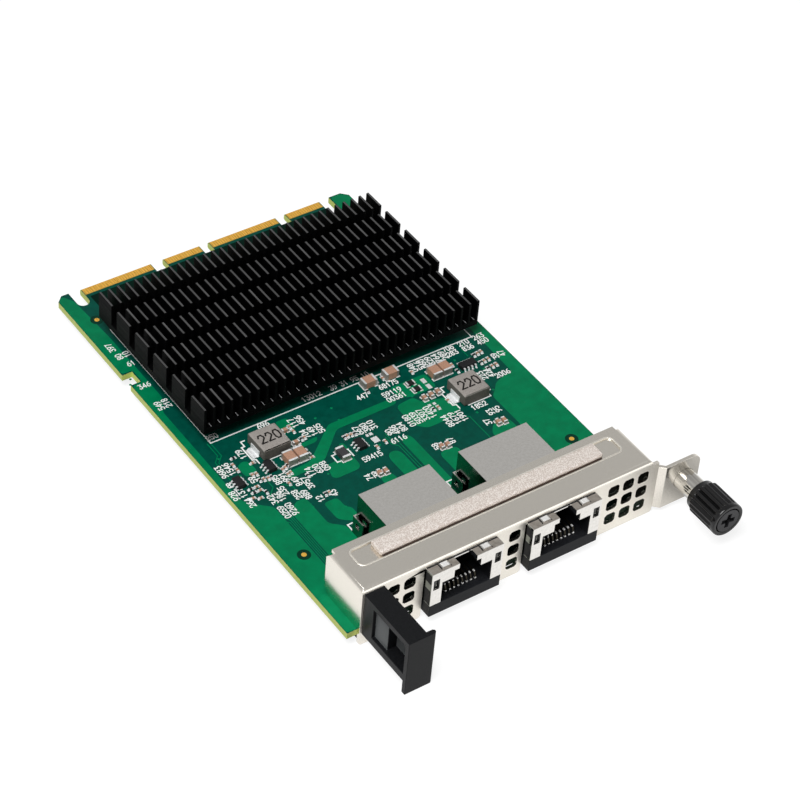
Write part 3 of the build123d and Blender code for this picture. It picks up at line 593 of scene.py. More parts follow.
def digits(numbers: str, x: float, y: float, level: float, height: float, stroke: float, turn: float) -> Solid:
    """Writes a plain number as bars, centred on a point: each digit is a path of short straight strokes.

    Args:
        numbers: The digits.
        x: Middle in mm.
        y: Middle in mm.
        level: Level that the digits lie on in mm.
        height: Digit height in mm.
        stroke: Stroke width in mm.
        turn: Turn about Z in degrees.

    Returns:
        Points and faces of the strokes.
    """
    wide, pitch = DIGIT_WIDTH * height, DIGIT_PITCH * height
    start = ((len(numbers) - 1) * pitch + wide) / 2
    ends = np.vstack([DIGIT_RUNS[int(digit)] * (wide, height) + (place * pitch - start, -height / 2)
                      for place, digit in enumerate(numbers)])
    angle = math.radians(turn)
    spin = np.array([(math.cos(angle), math.sin(angle)), (-math.sin(angle), math.cos(angle))])
    ends = ends @ spin + (x, y)
    run = ends[:, 1] - ends[:, 0]
    thick = INK + INK_STEP * (np.arange(len(ends)) % INK_LEVELS)
    centres = np.column_stack((ends.mean(axis=1), level + thick / 2))
    sizes = np.column_stack((np.hypot(*run.T) + stroke, np.full(len(ends), stroke), thick))
    return boxes(centres, sizes, np.degrees(np.arctan2(run[:, 1], run[:, 0])))


def make_piece(name: str, solids: list[Solid], finish: Finish, body: str = "card",
               bevel: float = 0.0, smooth: bool = False) -> bpy.types.Object:
    """Joins solids into one mesh, gives it its finish and lets it ride on a body.

    Args:
        name: Name of the piece.
        solids: Points and faces in mm.
        finish: Finish of the whole piece.
        body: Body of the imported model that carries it.
        bevel: Width of a rounded edge in mm, or zero for none.
        smooth: Whether faces that meet at a shallow angle are shaded as one.

    Returns:
        The new object.
    """
    starts = np.cumsum([0] + [len(points) for points, _ in solids])
    points = np.vstack([points for points, _ in solids]) * MM
    faces = [[corner + int(start) for corner in face] for start, (_, found) in zip(starts, solids) for face in found]
    mesh = bpy.data.meshes.new(name)
    mesh.from_pydata(points.tolist(), [], faces)
    work = bmesh.new()
    work.from_mesh(mesh)
    bmesh.ops.recalc_face_normals(work, faces=work.faces)
    work.to_mesh(mesh)
    work.free()
    piece = bpy.data.objects.new(name, mesh)
    bpy.context.scene.collection.objects.link(piece)
    return settle(piece, finish, body, bevel, smooth)


def settle(piece: bpy.types.Object, finish: Finish, body: str, bevel: float,
           smooth: bool) -> bpy.types.Object:
    """Gives a finished mesh its material, edges, shading and body, and reports it.

    Args:
        piece: The object.
        finish: Finish of the whole piece.
        body: Body that carries it.
        bevel: Width of a rounded edge in mm, or zero for none.
        smooth: Whether shallow edges are shaded smooth.

    Returns:
        The same object.
    """
    mesh = piece.data
    mesh.materials.clear()
    mesh.materials.append(finish.material())
    if smooth:
        mesh.polygons.foreach_set("use_smooth", np.ones(len(mesh.polygons), dtype=bool))
        mesh.set_sharp_from_angle(angle=CREASE)
    if bevel:
        edge = piece.modifiers.new("rounded edge", "BEVEL")
        edge.width = bevel * MM
        edge.segments = 2
        edge.limit_method = "ANGLE"
        edge.angle_limit = CREASE
        edge.harden_normals = smooth
    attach(piece, body)
    LOG.info("%s: %d faces, %s, on %s", piece.name, len(mesh.polygons), finish.name, body)
    return piece


def dress(finish: Finish, *nodes: str) -> None:
    """Gives CAD nodes a finish and leaves their meshes alone."""
    for node in nodes:
        mesh = NODES[node].data
        mesh.materials.clear()
        mesh.materials.append(finish.material())
        LOG.info("%s: CAD node in %s", node, finish.name)


def soften(node: str, piece: str, finish: Finish, bevel: float) -> bpy.types.Object:
    """Stands a copy of a CAD node in its place, with its flat faces whole again and its edges rounded.

    Args:
        node: The CAD node.
        piece: Name of the new piece.
        finish: Finish of the piece.
        bevel: Width of the rounded edge in mm.

    Returns:
        The new object, which replaces the node.
    """
    mesh = NODES[node].data.copy()
    mesh.name = piece
    work = bmesh.new()
    work.from_mesh(mesh)
    bmesh.ops.remove_doubles(work, verts=work.verts, dist=WELD)
    bmesh.ops.dissolve_limit(work, angle_limit=LEVEL_TURN, verts=work.verts, edges=work.edges)
    work.to_mesh(mesh)
    work.free()
    if mesh.has_custom_normals:
        mesh.normals_split_custom_set([(0.0, 0.0, 0.0)] * len(mesh.loops))
    copy = bpy.data.objects.new(piece, mesh)
    bpy.context.scene.collection.objects.link(copy)
    settle(copy, finish, NODES[node]["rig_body"], bevel, True)
    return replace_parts(copy, node)


def point_table(piece: bpy.types.Object) -> np.ndarray:
    """Returns the points of an object's mesh as rows, in metres."""
    points = np.empty(len(piece.data.vertices) * 3, np.float32)
    piece.data.vertices.foreach_get("co", points)
    return points.reshape(-1, 3)


def face_table(piece: bpy.types.Object) -> tuple[np.ndarray, np.ndarray]:
    """Returns the middles in mm and the normals of a piece's faces."""
    polygons = piece.data.polygons
    middles, normals = (np.empty(len(polygons) * 3, np.float32) for _ in range(2))
    polygons.foreach_get("center", middles)
    polygons.foreach_get("normal", normals)
    return middles.reshape(-1, 3) / MM, normals.reshape(-1, 3)


def refinish(piece: bpy.types.Object, finish: Finish, chosen: np.ndarray) -> None:
    """Gives some faces of a piece a finish of their own.

    Args:
        piece: The object.
        finish: Their finish.
        chosen: True for each face that gets it.
    """
    polygons = piece.data.polygons
    index = np.empty(len(polygons), np.int32)
    polygons.foreach_get("material_index", index)
    index[chosen] = len(piece.data.materials)
    piece.data.materials.append(finish.material())
    polygons.foreach_set("material_index", index)


@dataclass
class Mark:
    """A cluster of plain numbers printed on the board.

    Attributes:
        x: Middle in mm.
        d: Distance of the middle from the board's front edge in mm.
        lines: How many numbers lie side by side.
        length: Digits in each.
        upright: Whether the numbers read from front to rear.
        height: Digit height in mm.
    """

    x: float
    d: float
    lines: int
    length: int
    upright: bool = True
    height: float = 1.28


@dataclass
class PrintedBoard:
    """The circuit board's copper, print, marks and card edge.

    Attributes:
        copper: Thickness of masked copper in mm.
        print_height: Height of the white print in mm.
        print_width: Width of a printed line in mm.
        stroke: Width of a printed digit's stroke in mm.
        line_pitch: Spacing of numbers side by side, as a share of the digits' height.
        track: Width of a track in mm, and its height as a share of the copper's.
        seed: Start of the draw of plain numbers.
        tongues: Left and right side of each tongue in mm.
        strip: Middle along the card, length and spare width of the bare strips under the contacts in mm.
        keep_outs: Place, distance from the front edge, width and length of the areas painted dark as deep shade in mm.
        sight: Radius and height of an aiming mark's clearing, and of its dot, in mm.
        via: Radius and height of each step of a via's ring in mm.
    """

    copper: float = 0.03
    print_height: float = 0.05
    print_width: float = 0.3
    stroke: float = 0.22
    line_pitch: float = 1.38
    track: tuple[float, float] = (0.2, 0.8)
    seed: int = 11
    tongues: tuple[tuple[float, float], ...] = ((-31.8, -14.06), (-10.86, -1.52), (0.88, 18.62), (21.22, 30.56))
    strip: tuple[float, float, float] = (-1.27, 1.94, 0.3)
    keep_outs: tuple[tuple[float, float, float, float], ...] = (
        (-28.3, 5.9, 14.0, 11.2), (0.0, 5.9, 6.4, 11.2), (28.3, 5.9, 14.0, 11.2), (0.0, 109.6, 62.0, 4.6))
    sight: tuple[float, float, float, float] = (1.45, 0.036, 0.56, 0.05)
    via: tuple[tuple[float, float], ...] = ((0.3, 0.0), (0.24, 0.045), (0.12, 0.045), (0.1, 0.034))

    def pours(self) -> list[Outline]:
        """Returns the outlines of the copper areas as (x, distance from the front edge)."""
        return [
            [(-37.9, 0.1), (-35.2, 0.1), (-35.2, 12.2), (-31.5, 12.2), (-31.5, 36.5), (-35.5, 40), (-36.4, 42),
             (-36.4, 72), (-34.2, 76), (-34.2, 98), (-34.9, 112), (-36.5, 114.8), (-37.9, 113.4), (-37.9, 86.4),
             (-35.3, 86.4), (-35.3, 82.2), (-37.9, 82.2)],
            [(-29.4, 14), (-29.4, 32.4), (-28.25, 34.25), (-27, 35.5), (-25, 35.5), (-24.55, 34.75), (-24.55, 27),
             (-21.75, 24.5), (-21.75, 14)],
            [(-22.3, 32.25), (-19, 32.25), (-18.9, 29.25), (-17.9, 28.4), (-17.9, 25.1), (-20, 25.1), (-22.3, 27)],
            [(-24.75, 42.6), (-23, 43.6), (-18, 43.9), (-16, 45.4), (-14, 47), (-9.15, 50.9), (-8.4, 51.3),
             (7.25, 51.3), (8, 50.4), (7.25, 49.4), (-7.9, 49.2), (-14.9, 42.9), (-18.25, 41.9), (-24, 41.7)],
            [(-18, 57.5), (-15, 57.5), (-15, 53.75), (-18, 53.5)],
            [(-18, 49.2), (-12.5, 49.5), (-13.5, 48.2), (-18, 48.2)],
            [(-31.75, 50.2), (-30, 51), (-28.9, 50.2), (-28.75, 47), (-31.75, 46.5)],
            [(-15.5, 41.25), (-9.5, 41.4), (-9.5, 38.1), (-10.25, 37), (-15.75, 36.9), (-16.5, 37.6), (-16.4, 38.5)],
            [(-10.2, 41.5), (-9, 41.5), (-9, 45.2), (-10.2, 45.2)],
            [(-3.25, 14), (-3.25, 36.5), (-2.4, 37.75), (-0.8, 37.75), (0, 36.5), (0, 14)],
            [(1.85, 14), (1.85, 39.3), (2.6, 40.3), (3.9, 40.3), (4.5, 39.3), (4.5, 14)],
            [(-8.25, 23), (-8.25, 32), (-7.6, 32.9), (-5.8, 32.9), (-5.15, 32), (-5.15, 23)],
            [(6.5, 23), (6.5, 31.7), (7.2, 32.5), (10.3, 32.5), (11, 31.7), (11, 23)],
            [(6.75, 48), (7.5, 48.9), (11.5, 49.25), (12.5, 47), (18.5, 45.5), (18.5, 41), (14, 39.9), (9, 39.9),
             (7.5, 41.25), (6.75, 42.5)],
            [(36.2, 0.7), (36.2, 12.2), (26.5, 12.2), (26.5, 41), (28.5, 42.75), (29.5, 44), (32, 45),
             (34.75, 45.25), (35, 57), (35, 98), (33.6, 110), (33.6, 114.8), (36.5, 114.8), (37.9, 113.4), (37.9, 0.7)],
            [(19.75, 31.75), (21.5, 33.9), (25.25, 33.9), (25.5, 31.75), (25.5, 23), (19.75, 23)],
            [(9, 54.2), (18, 54.2), (18, 49.6), (11, 49.6), (9, 51)],
        ]

    def tracks(self) -> list[Outline]:
        """Returns the paths of thin copper tracks: a bundle, a pair and single ones."""
        bundle = [[(x, 14), (x, 31 + 0.6 * i), (x - 1.2, 32.5 + 0.6 * i)]
                  for i, x in enumerate((-31.1, -30.65, -30.2, -29.75))]
        pair = [[(x, 14), (x, 38.5 + i), (x - 1, 39.6 + i), (x - 1, 42 + i)] for i, x in enumerate((0.6, 1.2))]
        return bundle + pair + [
            [(-33.5, 59), (-33.5, 55), (-35, 53.4), (-35, 46)],
            [(-32.8, 59), (-32.8, 54.6), (-34.4, 53), (-34.4, 52.6)],
            [(-28.6, 44), (-28.6, 41.4), (-30.4, 39.6), (-30.4, 34.5)],
            [(-26.8, 43.8), (-26.8, 41.6), (-25, 39.4), (-25, 36.4)],
            [(15.5, 42.8), (15.5, 41.3), (18.6, 38.2), (18.6, 30)],
            [(29.4, 54.2), (29.4, 56.4), (31, 58.2), (31, 59)],
        ]

    def outlines(self) -> list[Outline]:
        """Returns the printed outlines of heat sink, chokes and jacks."""
        choke = [(-3.5, 4.1), (-4.35, 4.1), (-4.35, 2.6), (-5.1, 2.6), (-5.1, -1.65), (-4.35, -1.9), (-4.35, -3.15)]
        other = [(-2.1, -3.3), (3.65, -3.3), (3.8, -1.8), (4.65, -1.65), (4.65, 2.5), (3.8, 2.7), (3.8, 4.1)]
        shapes = [[(x + cx, d + cd) for x, d in path] for cx, cd in CHOKES for path in (choke, other)]
        jack = [[(side * 9.3 + cx, 20.5), (side * 9.3 + cx, 24.6), (side * 6.2 + cx, 24.6)]
                for cx in (-JACK_X, JACK_X) for side in (-1, 1)]
        bead = [[(-12.6, 43), (-13.2, 43), (-13.2, 40.8), (-12.6, 40.8)], [(-9.8, 43), (-9.2, 43), (-9.2, 40.8)]]
        return shapes + jack + bead + [[(-32.75, 100), (-32.75, 58.9), (33.75, 58.9), (33.75, 100)]]

    def marks(self) -> list[Mark]:
        """Returns the clusters of plain numbers."""
        upright = [
            (-13.9, 55.4, 2, 3), (-12.6, 51.3, 3, 3), (-29.1, 52.9, 1, 3), (-34.5, 50.4, 2, 4), (-35.9, 43.2, 2, 3),
            (-35.0, 39.9, 1, 3), (-31.0, 45.3, 1, 2), (-26.0, 42.8, 2, 3), (-27.4, 39.4, 1, 3), (-23.5, 40.4, 1, 3),
            (-21.8, 38.9, 1, 4), (-25.6, 37.1, 1, 3), (-23.9, 36.2, 1, 3), (-17.8, 41.3, 3, 3), (-29.7, 38.4, 2, 3),
            (-29.6, 34.2, 2, 4), (-22.1, 33.7, 1, 2), (-18.8, 33.7, 1, 2), (-9.2, 33.9, 2, 2), (-2.5, 46.6, 3, 3),
            (1.2, 42.9, 1, 2), (3.5, 42.9, 2, 3), (9.4, 43.7, 4, 4), (15.5, 39.5, 3, 4), (7.2, 34.4, 1, 2),
            (10.9, 34.2, 1, 2), (17.7, 57.0, 2, 3), (22.2, 57.0, 4, 3), (29.3, 47.4, 2, 3), (24.1, 37.2, 2, 2),
            (35.4, 51.2, 2, 2), (-35.8, 94.9, 1, 3), (-34.7, 91.5, 2, 2), (-35.2, 74.0, 2, 3), (20.9, 35.0, 1, 2),
        ]
        flat = [
            (-31.6, 60.4, 1, 3), (-20.5, 58.1, 1, 3), (-35.7, 46.3, 1, 2), (-6.0, 38.6, 1, 5), (1.7, 40.2, 1, 4),
            (2.4, 54.9, 1, 3), (9.3, 55.3, 1, 5), (8.6, 52.0, 2, 5), (27.0, 57.5, 2, 3), (31.0, 57.3, 2, 3),
            (35.0, 57.4, 2, 3), (32.6, 45.8, 1, 4), (22.3, 40.1, 1, 4), (-34.5, 88.5, 1, 2), (-35.6, 81.0, 1, 3),
            (-6.9, 60.4, 1, 5), (-1.4, 60.4, 1, 2), (1.3, 60.4, 1, 2), (4.0, 60.4, 1, 2), (6.7, 60.4, 1, 2),
        ]
        return [Mark(*row) for row in upright] + [Mark(*row, upright=False) for row in flat]

    def written(self) -> list[Solid]:
        """Writes every cluster with drawn digits and returns the strokes."""
        draw = np.random.default_rng(self.seed)
        written = []
        for mark in self.marks():
            pitch = self.line_pitch * mark.height
            for row in range(mark.lines):
                number = "".join(str(n) for n in draw.integers(0, 10, mark.length))
                step = (row - (mark.lines - 1) / 2) * pitch
                x = mark.x + (step if mark.upright else 0)
                d = mark.d + (0 if mark.upright else step)
                written.append(digits(number, x, d - BOARD_LENGTH, BOARD_TOP, mark.height, self.stroke,
                                      90 if mark.upright else 0))
        return written

    def sights(self) -> np.ndarray:
        """Returns the places of the round gold aiming marks."""
        return standing([(-33.7, 104.3), (-33.6, 22.1), (33.2, 21.8)], BOARD_TOP)

    def vias(self) -> np.ndarray:
        """Returns the places of small masked holes: two rows along the sides and a scatter in the copper."""
        row = np.arange(16, 110, 3.1)
        sides = [np.column_stack((np.full(len(row), x), row)) for x in (-37.1, 37.1)]
        draw = np.random.default_rng(self.seed + 1)
        scatter = np.column_stack((draw.uniform(-34, 35, 40), draw.uniform(26, 57, 40)))
        return standing(np.vstack(sides + [scatter]), BOARD_TOP)

    def build(self) -> None:
        """Makes the board's pieces."""
        dress(LAMINATE, "circuit_board")
        for face in ("top", "under"):
            soften(f"edge_contacts_{face}", f"card_edge_gold_{face}", GOLD, 0.015)
        middle, length, spare = self.strip
        strips = [((left + right) / 2, middle, level) for left, right in self.tongues
                  for level in (BOARD_TOP + FILM / 2, BOARD_UNDER - FILM / 2)]
        widths = [(right - left - spare, length, FILM) for left, right in self.tongues for _ in range(2)]
        make_piece("bare_strips_under_contacts", [boxes(np.array(strips), np.array(widths))], BARE_LAMINATE)
        pours = [prism(rounded(on_board(path)), BOARD_TOP, BOARD_TOP + self.copper) for path in self.pours()]
        width, share = self.track
        tracks = [lines(path, width, self.copper * share) for path in self.tracks()]
        make_piece("copper_areas_top", pours + tracks, MASKED_COPPER)
        under = [(-37.3, 15), (37.3, 15), (37.3, 58), (34.2, 61), (34.2, 108), (-34.2, 108), (-34.2, 61), (-37.3, 58)]
        make_piece("copper_areas_under", [prism(rounded(on_board(under)), BOARD_UNDER - self.copper,
                                                BOARD_UNDER)], MASKED_COPPER)
        print_lines = [lines(path, self.print_width, self.print_height) for path in self.outlines()]
        make_piece("white_print_top", print_lines + self.written(), WHITE_INK)
        # Painted shade: dark mask under the faceplate and behind the heat sink.
        shade = np.array(self.keep_outs)
        areas = np.column_stack((shade[:, 2:], np.full(len(shade), FILM)))
        make_piece("painted_shade_areas", [boxes(standing(shade[:, :2], BOARD_TOP + FILM / 2), areas)], SHADED_MASK)
        clearing, clearing_height, dot, dot_height = self.sight
        ring = prism(clearing * circle(32), 0, clearing_height)
        make_piece("aiming_mark_clearings", [repeat(ring, self.sights())], MASKED_GAP)
        spot = prism(dot * circle(24), 0, dot_height)
        make_piece("aiming_marks", [repeat(spot, self.sights())], GOLD)
        rings = [repeat(lathe([(r, sign * z) for r, z in self.via], 10), self.vias() * (1, 1, sign))
                 for sign in (1, -1)]
        make_piece("masked_via_rings", rings, MASKED_COPPER)


@dataclass
class SmallParts:
    """Chokes, capacitors, resistors and chips with their solder, leads and the tiniest parts.

    Attributes:
        tiny: Length, width and height of the smallest parts in mm.
        core: Length of a smallest part's body, as a share of the part's.
        end: Length of its ends and their place from the middle, as shares of its length.
        swell: How much wider and higher its ends are than its body.
        foot: Length and width of the solder at an end as shares of the part's, and its shift outwards in mm.
        solder: Height of a solder pad in mm.
        fillet: How much longer and wider the solder under an end cap is than the cap in mm.
        plate: Height of an open solder plate in mm.
        chip_half: Half the width of a small chip in mm.
        lead_half: Half the width of a chip's lead in mm.
        chips: Place, distance from the front edge, turn, lead spacing and leads on each side of the small chips.
        choke_number: Plain number on each choke.
        choke_digit: Height and stroke of its digits in mm.
    """

    tiny: tuple[float, float, float] = (1.0, 0.52, 0.36)
    core: float = 0.56
    end: tuple[float, float] = (0.26, 0.39)
    swell: float = 1.04
    foot: tuple[float, float, float] = (0.5, 1.25, 0.12)
    solder: float = 0.07
    fillet: float = 0.46
    plate: float = 0.06
    chip_half: float = 0.85
    lead_half: float = 0.19
    chips: tuple[tuple[float, float, float, float, int], ...] = (
        (-34.2, 45.6, 90, 0.95, 3), (-26.2, 46.5, 90, 0.95, 3), (-6.4, 42.6, 90, 0.95, 3), (27.4, 51.6, 0, 0.95, 4))
    choke_number: str = "220"
    choke_digit: tuple[float, float] = (2.4, 0.36)

    def tiny_places(self) -> np.ndarray:
        """Returns (x, distance from the front edge, turn) of the smallest parts."""
        return np.array([
            (-20.5, 34.2, 80), (-19.6, 34.2, 80), (-16.1, 54.7, 90), (-15.9, 50.4, 90), (-15.1, 50.5, 90),
            (-17.2, 47.2, 0), (-17.2, 45.9, 0), (-17.1, 44.7, 0), (-16.1, 53.2, 90), (-20.7, 40.6, 90),
            (-32.3, 50.9, 90), (-32.3, 49.2, 90), (-31.2, 52.6, 0), (-30.4, 46.4, 90), (-29.5, 46.3, 90),
            (-29.9, 44.4, 90), (-29.0, 44.2, 90), (-28.1, 44.0, 90), (-27.3, 44.0, 90), (-24.2, 44.6, 90),
            (-23.4, 44.9, 90), (-22.6, 45.2, 90), (-24.0, 42.9, 90), (-23.2, 43.1, 90), (-32.9, 43.1, 0),
            (-31.5, 43.1, 0), (-31.4, 41.9, 0), (-32.8, 41.9, 0), (-33.9, 40.6, 0), (-32.5, 39.9, 0),
            (-30.6, 40.8, 90), (-28.5, 49.4, 0), (-25.2, 40.6, 90), (-7.9, 46.2, 90), (-7.1, 46.3, 90),
            (-6.2, 46.2, 90), (-5.4, 46.1, 90), (-3.6, 40.4, 90), (-1.2, 40.9, 90), (30.6, 53.6, 90),
            (31.6, 53.7, 90), (32.6, 53.8, 90), (30.5, 50.9, 90), (31.5, 51.0, 90), (32.6, 51.1, 90),
            (30.8, 48.6, 90), (32.0, 48.7, 90), (33.1, 48.8, 90), (13.2, 43.9, 90), (14.4, 43.9, 90),
            (17.4, 44.6, 90), (24.6, 51.2, 90), (24.6, 53.4, 90), (15.8, 55.9, 90), (4.2, 55.6, 90),
            (7.6, 57.4, 90), (9.3, 57.4, 90),
        ])

    def pads(self) -> np.ndarray:
        """Returns (x, distance from the front edge, width, length) of solder round the larger parts."""
        chokes = [(x + sign * 4.1, d, 1.5, 3.0) for x, d in CHOKES for sign in (-1, 1)]
        return np.array(chokes + [
            (16.5, 52.4, 1.0, 1.5), (16.5, 50.4, 1.0, 1.5), (13.2, 45.4, 0.7, 0.7), (14.4, 45.4, 0.7, 0.7),
            (-2.5, 44.4, 0.8, 0.8), (-3.4, 44.4, 0.6, 0.8), (-2.6, 42.5, 1.5, 1.7),
        ])

    def fillets(self, node: str) -> Solid:
        """Lays solder under the end caps of a node: each cap's own footprint, a little wider and longer.

        Args:
            node: CAD node of the end caps.

        Returns:
            Points and faces of the solder.
        """
        caps = point_table(NODES[node]).reshape(-1, 24, 3) / MM  # A cap is a box of loose faces, so 24 points.
        low, high = caps.min(axis=1), caps.max(axis=1)
        centres = (low + high) / 2
        centres[:, 2] = BOARD_TOP + self.solder / 2
        sizes = high - low + self.fillet
        sizes[:, 2] = self.solder
        return boxes(centres, sizes)

    def leads(self) -> list[Solid]:
        """Makes gull-wing leads for the small chips: a stepped profile carried over a lead's width, then repeated."""
        foot = [(0.0, 0.55), (0.3, 0.55), (0.45, 0.0), (0.85, 0.0), (0.85, 0.14), (0.55, 0.14), (0.4, 0.69),
                (0.0, 0.69)]
        solids = []
        for x, d, turn, pitch, count in self.chips:
            offsets = (np.arange(count) - (count - 1) / 2) * pitch
            place = Matrix.Translation((x, d - BOARD_LENGTH, BOARD_TOP)) @ Matrix.Rotation(math.radians(turn), 4, "Z")
            for side in (-1, 1):
                lead = sweep([(side * (self.chip_half + a), b) for a, b in foot], -self.lead_half, self.lead_half)
                solids.append(turned(repeat(lead, np.outer(offsets, (1, 0, 0))), place))
        return solids

    def tiny_parts(self) -> None:
        """Makes the smallest parts: a body, two ends and two solder feet each, all turned with the part."""
        rows = self.tiny_places()
        turns = rows[:, 2]
        length, width, height = self.tiny
        middle = standing(rows[:, :2], BOARD_TOP + height / 2)
        angle = np.radians(turns)
        along = np.column_stack((np.cos(angle), np.sin(angle), np.zeros(len(rows))))
        dark = np.arange(len(rows)) % 3 == 0
        core = (length * self.core, width, height)
        make_piece("tiny_resistors", [boxes(middle[dark], core, turns[dark])], EPOXY, bevel=0.04)
        make_piece("tiny_capacitors", [boxes(middle[~dark], core, turns[~dark])], CERAMIC,
                   bevel=0.04)
        end, place = self.end
        ends = np.vstack([middle + sign * along * length * place for sign in (-1, 1)])
        both = np.tile(turns, 2)
        caps = boxes(ends, (length * end, width * self.swell, height * self.swell), both)
        longer, wider, out = self.foot
        shift = np.tile(along, (2, 1)) * np.repeat((-out, out), len(rows))[:, None]
        feet = boxes(ends * (1, 1, 0) + (0, 0, BOARD_TOP + self.solder / 2) + shift,
                     (length * longer, width * wider, self.solder), both)
        make_piece("tiny_part_ends", [caps, feet], TIN, bevel=0.03)

    def build(self) -> None:
        """Makes the small parts' pieces."""
        for side in ("left", "right"):
            choke = soften(f"{side}_inductor", f"{side}_choke_body", IRON_POWDER, 0.22)
            # Painted shade: the choke's sides are darker than its top.
            refinish(choke, SHADED_CHOKE_SIDE, face_table(choke)[1][:, 2] < SIDEWAYS)
            soften(f"{side}_inductor_terminals", f"{side}_choke_terminals", TIN, 0.06)
            low, high = (np.array(corner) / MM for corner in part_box(f"{side}_inductor"))
            middle = (low + high) / 2
            mark = digits(self.choke_number, middle[0], middle[1], high[2] - FILM, *self.choke_digit, 0)
            make_piece(f"{side}_choke_number", [mark], DARK_INK_AND_RECESS_SHADE)
        kinds = {"large_capacitors": CERAMIC, "small_capacitors": CERAMIC, "chip_resistors": EPOXY,
                 "chip_bead": FERRITE}
        for node, finish in kinds.items():
            soften(node, f"{node}_bodies", finish, 0.06)
            caps = soften(f"{node}_end_caps", f"{node}_tinned_ends", TIN, 0.05)
            # Painted shade: the caps' upright faces are darker.
            refinish(caps, SHADED_TIN, face_table(caps)[1][:, 2] < SIDEWAYS)
        soften("small_chips", "small_chip_packages", EPOXY, 0.06)
        make_piece("small_chip_leads", self.leads(), TIN)
        self.tiny_parts()
        pads = self.pads()
        plates = boxes(standing(pads[:, :2], BOARD_TOP + self.plate / 2),
                       np.column_stack((pads[:, 2:], np.full(len(pads), self.plate))))
        joints = [self.fillets(f"{node}_end_caps") for node in kinds]
        make_piece("solder_pads", [plates, *joints], TIN, bevel=0.03)


@dataclass
class HeatSink:
    """The black finned heat sink, what lies under it and the screws that hold its feet.

    Attributes:
        feet_x: Half the distance between the feet across the card in mm.
        feet_y: Middle of the feet along the card in mm.
        feet_half: Half the distance between the feet along the card in mm.
        fins: Number of fins across.
        fin_pitch: Spacing of the fins in mm.
        front: Front of the base in mm.
        base_top: Height of the base's top in mm.
        fin_root: Height above the base up to which faces carry the painted shade, in mm.
        sliver: Size of a painted glint along X, Y and Z in mm.
        sliver_shift: Shift of a painted glint from the middle of its gap, and from the front, in mm.
    """

    feet_x: float = 28.7
    feet_y: float = -34.9
    feet_half: float = 15.55
    fins: int = 33
    fin_pitch: float = 2.15
    front: float = -56.45
    base_top: float = 5.785
    fin_root: float = 1.0
    sliver: tuple[float, float, float] = (0.16, 1.1, FILM)
    sliver_shift: tuple[float, float] = (0.5, 0.7)

    def glints(self) -> None:
        """Lays a painted glint at the front of each gap between the fins."""
        x = (np.arange(self.fins - 1) - (self.fins - 2) / 2) * self.fin_pitch
        aside, behind = self.sliver_shift
        places = np.outer(x + aside, (1, 0, 0)) + (0, self.front + behind, self.base_top + FILM / 2)
        make_piece("painted_glints_between_fins", [boxes(places, self.sliver)], FIN_GLINT)

    def screw_places(self) -> np.ndarray:
        """Returns the middles of the screw heads on the underside."""
        return np.array([(x, self.feet_y + y, BOARD_UNDER) for x in (-self.feet_x, self.feet_x)
                         for y in (-self.feet_half, self.feet_half)])

    def build(self) -> None:
        """Makes the heat sink's pieces."""
        sink = soften("heat_sink", "heat_sink_fins", ANODISED, 0.09)
        middles, normals = face_table(sink)
        # Painted shade between the fins: their sides, roots and rounded edges lose the shine of the tops.
        refinish(sink, SHADED_ANODISED, (normals[:, 2] < SIDEWAYS) | (middles[:, 2] < self.base_top + self.fin_root))
        sink.modifiers[0].material = 1  # The rounded edges are dull like the sides.
        self.glints()
        dress(EPOXY, "controller_chip")
        dress(SILICONE, "thermal_pad")
        Screws("heat_sink", self.screw_places()).build()


@dataclass
class Screws:
    """Pan head screws under the board.

    Attributes:
        name: What they hold.
        places: Middles of the heads on the board's underside, in mm.
        radius: Head radius in mm.
        height: Head height in mm.
        dome: How far the head draws in, its upright side and its crown, as shares of its height.
        recess: Length, width and thickness of a dark bar of painted shade in the cross in mm.
        land: How far the bare land round a head reaches past it, inside and outside, and its thickness in mm.
    """

    name: str
    places: np.ndarray
    radius: float = 2.1
    height: float = 1.25
    dome: tuple[float, float, float] = (0.7, 0.35, 0.65)
    recess: tuple[float, float, float] = (2.0, 0.42, 0.03)
    land: tuple[float, float, float] = (0.55, 0.6, 0.06)

    def build(self) -> None:
        """Turns the heads, with the cross recess shown as painted shade: two dark bars sunk to the head's top."""
        r, h = self.radius, self.height
        inward, side, crown = self.dome
        angle = np.linspace(0, np.pi / 2, 7)
        dome = [(r - inward * h * (1 - math.cos(a)), -h * side - h * crown * math.sin(a)) for a in angle[::-1]]
        head = lathe(dome + [(r, 0.0)], 28)
        make_piece(f"{self.name}_screw_heads", [repeat(head, self.places)], BLACK_OXIDE,
                   smooth=True)
        length, width, thick = self.recess
        # Painted shade: dark bars where the cross recess is.
        bars = [boxes(self.places + (0, 0, -h), size) for size in ((length, width, thick), (width, length, thick))]
        make_piece(f"{self.name}_screw_recess_shade", bars, DARK_INK_AND_RECESS_SHADE)
        inner, outer, land = self.land
        ring = lathe([(r + inner, -land), (r + outer, 0.0)], 32)
        make_piece(f"{self.name}_screw_lands", [repeat(ring, self.places)], TIN)


